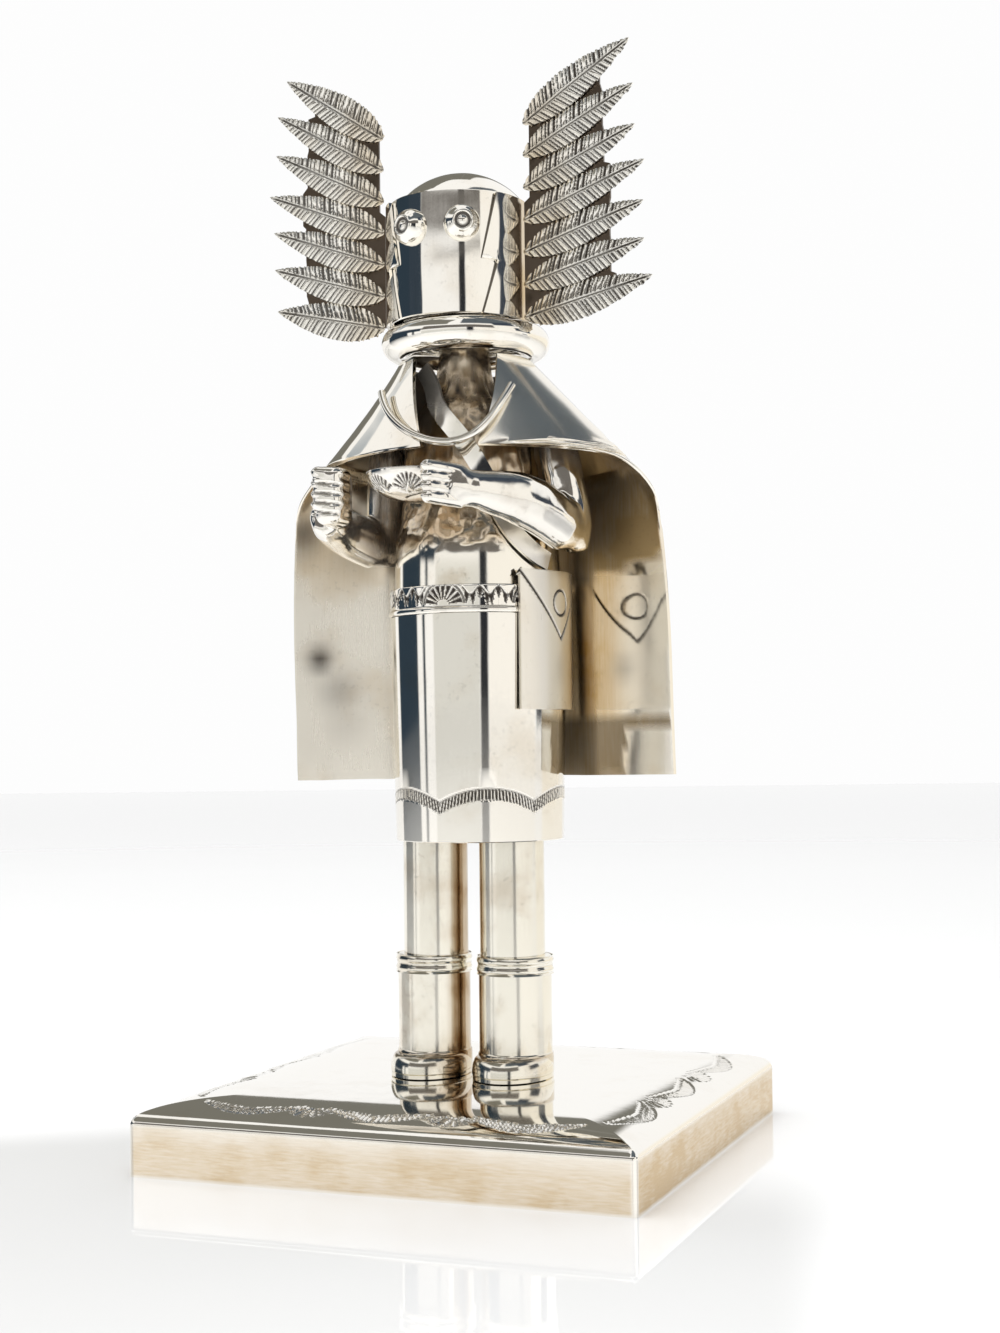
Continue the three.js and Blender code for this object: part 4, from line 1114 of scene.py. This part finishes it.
def makeEye(name, spec, centre, radius):
    middle = boxOf("eye_" + name)[2]
    out = Vector((middle[0] - centre[0], middle[1] - centre[1], 0)).normalized()
    eye = spunPiece("eye_boss_" + name, spec["profile"], spec["steps"])
    foot = Vector((centre[0], centre[1], middle[2])) + out * radius
    turnInto(eye, Matrix.Translation(foot * mm) @ out.to_track_quat("Z", "Y").to_matrix().to_4x4())
    rise = (pointsOf(eye) - np.array(foot)) @ np.array(out)
    groove = within(rise - spec["pupil"], *spec["pupilLine"]) * ramp(hollows(eye, 1), *spec["groove"])
    mark(eye, "dark", spec["dark"] * groove)
    handOver(eye, polished, "eye_" + name, degrees=50)


def makePlate(name, spec, centre):
    plate = refined("side_plate_" + name, "mask_plate_" + name, spec["levels"])
    turn = np.abs(azimuth(pointsOf(plate), centre))
    mark(plate, "warm", spec["warm"] * ramp(turn, *spec["warmFrom"]))
    mark(plate, "dull", spec["dull"] * ramp(turn, *spec["dullFrom"]))
    handOver(plate, polished, "side_plate_" + name, degrees=45)


makeRing(ringSpec)
headCentre, headRadius = makeHead(headSpec)
for name in sides:
    makeEye(name, eyeSpec, headCentre, headRadius)
    makePlate(name, plateSpec, headCentre)
print("head ready")


# Feather fans

featherSpec = {"count": 7, "along": 150, "across": 26, "widest": 0.76, "blunt": 0.8, "wider": 1.12,
               "endSlice": 0.3, "inset": 1.3, "crown": 0.5, "shingle": 0.3, "lift": 0.1, "sheet": 0.45,
               "depth": 0.26,
               "pitch": 1.02, "lean": 24.0, "offset": 0.37, "slow": (0.16, 2.1), "quick": (0.1, 5.3),
               "barb": (0.14, 0.08), "barbFrom": (0.3, 0.5), "barbSpan": (0.46, 0.03), "comb": 0.035,
               "combFrom": 0.6, "rib": (0.12, 0.2), "ribSpan": (0.44, 0.05),
               "oxide": {"right": 0.92, "left": 1}, "warm": 0.5, "rootShade": (0.1, 0.5)}


def leafOf(node, spec):
    # root, direction, length, facing and widths of a feather's solid
    places = pointsOf(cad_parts[node])
    reach = fromAxis(places, headCentre)
    root = places[reach < reach.min() + spec["endSlice"]].mean(0)
    tip = places[reach > reach.max() - spec["endSlice"]].mean(0)
    way = tip - root
    length = np.linalg.norm(way)
    way = way / length
    facing = np.cross(way, (0, 0, 1))
    facing *= -np.sign(facing[1]) / np.linalg.norm(facing)
    across = np.cross(facing, way)
    across *= np.sign(across[2])
    spread = (places - root) @ across
    root = root - way * spec["inset"]  # the root runs on under the edge of the mask
    return root, way, length + spec["inset"], across, facing, -spread.min(), spread.max()


def barbs(spec, along, aside):
    # slanting cuts on both sides of the rib, a little uneven
    lean = math.tan(math.radians(spec["lean"]))
    way = (along - np.abs(aside) * lean) / spec["pitch"] + spec["offset"] * (aside < 0)
    (slow, slowBeat), (quick, quickBeat) = spec["slow"], spec["quick"]
    uneven = slow * np.sin(way * slowBeat + np.sign(aside)) + quick * np.sin(way * quickBeat)
    return within(inTurn(way + uneven), *spec["barb"])


def makeFeather(name, node, spec):
    root, way, length, across, facing, below, above = leafOf(node, spec)

    def place(u, v):
        edge = 2 * v - 1
        share = np.sin(math.pi * np.clip(u, 0, 1) ** spec["widest"]) ** spec["blunt"]
        half = share * np.where(edge < 0, below, above) * spec["wider"]
        comb = spec["comb"] * barbs(spec, u * length, half) * ramp(np.abs(edge), spec["combFrom"], 1)
        aside = edge * half * (1 - comb)
        lift = spec["crown"] * (1 - edge ** 2) * share - spec["shingle"] * edge * share + spec["lift"]
        return root + np.outer(u * length, way) + np.outer(aside, across) + np.outer(lift, facing)

    leaf = gridPiece(node + "_leaf", spec["along"], spec["across"], place)
    if (normalsOf(leaf) @ facing).mean() < 0:
        activate(leaf)
        bpy.ops.object.mode_set(mode="EDIT")
        bpy.ops.mesh.select_all(action="SELECT")
        bpy.ops.mesh.flip_normals()
        bpy.ops.object.mode_set(mode="OBJECT")
    fromRoot = pointsOf(leaf) - root
    aside, share = fromRoot @ across, fromRoot @ way / length
    rib = within(aside, *spec["rib"]) * within(share - 0.5, *spec["ribSpan"])
    lines = barbs(spec, fromRoot @ way, aside) * ramp(np.abs(aside), *spec["barbFrom"])
    lines = lines * within(share - 0.5, *spec["barbSpan"])
    press(leaf, np.maximum(rib, lines), spec["depth"], spec["oxide"][name])
    # painted shade: warmer towards the root, where the feathers overlap and tuck under the mask
    mark(leaf, "warm", spec["warm"] * (1 - ramp(share, *spec["rootShade"])))
    applyModifier(leaf, "SOLIDIFY", thickness=spec["sheet"] * mm, offset=-1)
    handOver(leaf, featherSilver, node, degrees=50)


for name in sides:
    for count in range(featherSpec["count"]):
        makeFeather(name, f"feather_{name}_{count + 1}", featherSpec)
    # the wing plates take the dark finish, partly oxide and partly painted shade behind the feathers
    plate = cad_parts["wing_plate_" + name]
    plate.data.materials.clear()
    plate.data.materials.append(backSilver)
print("feathers ready")
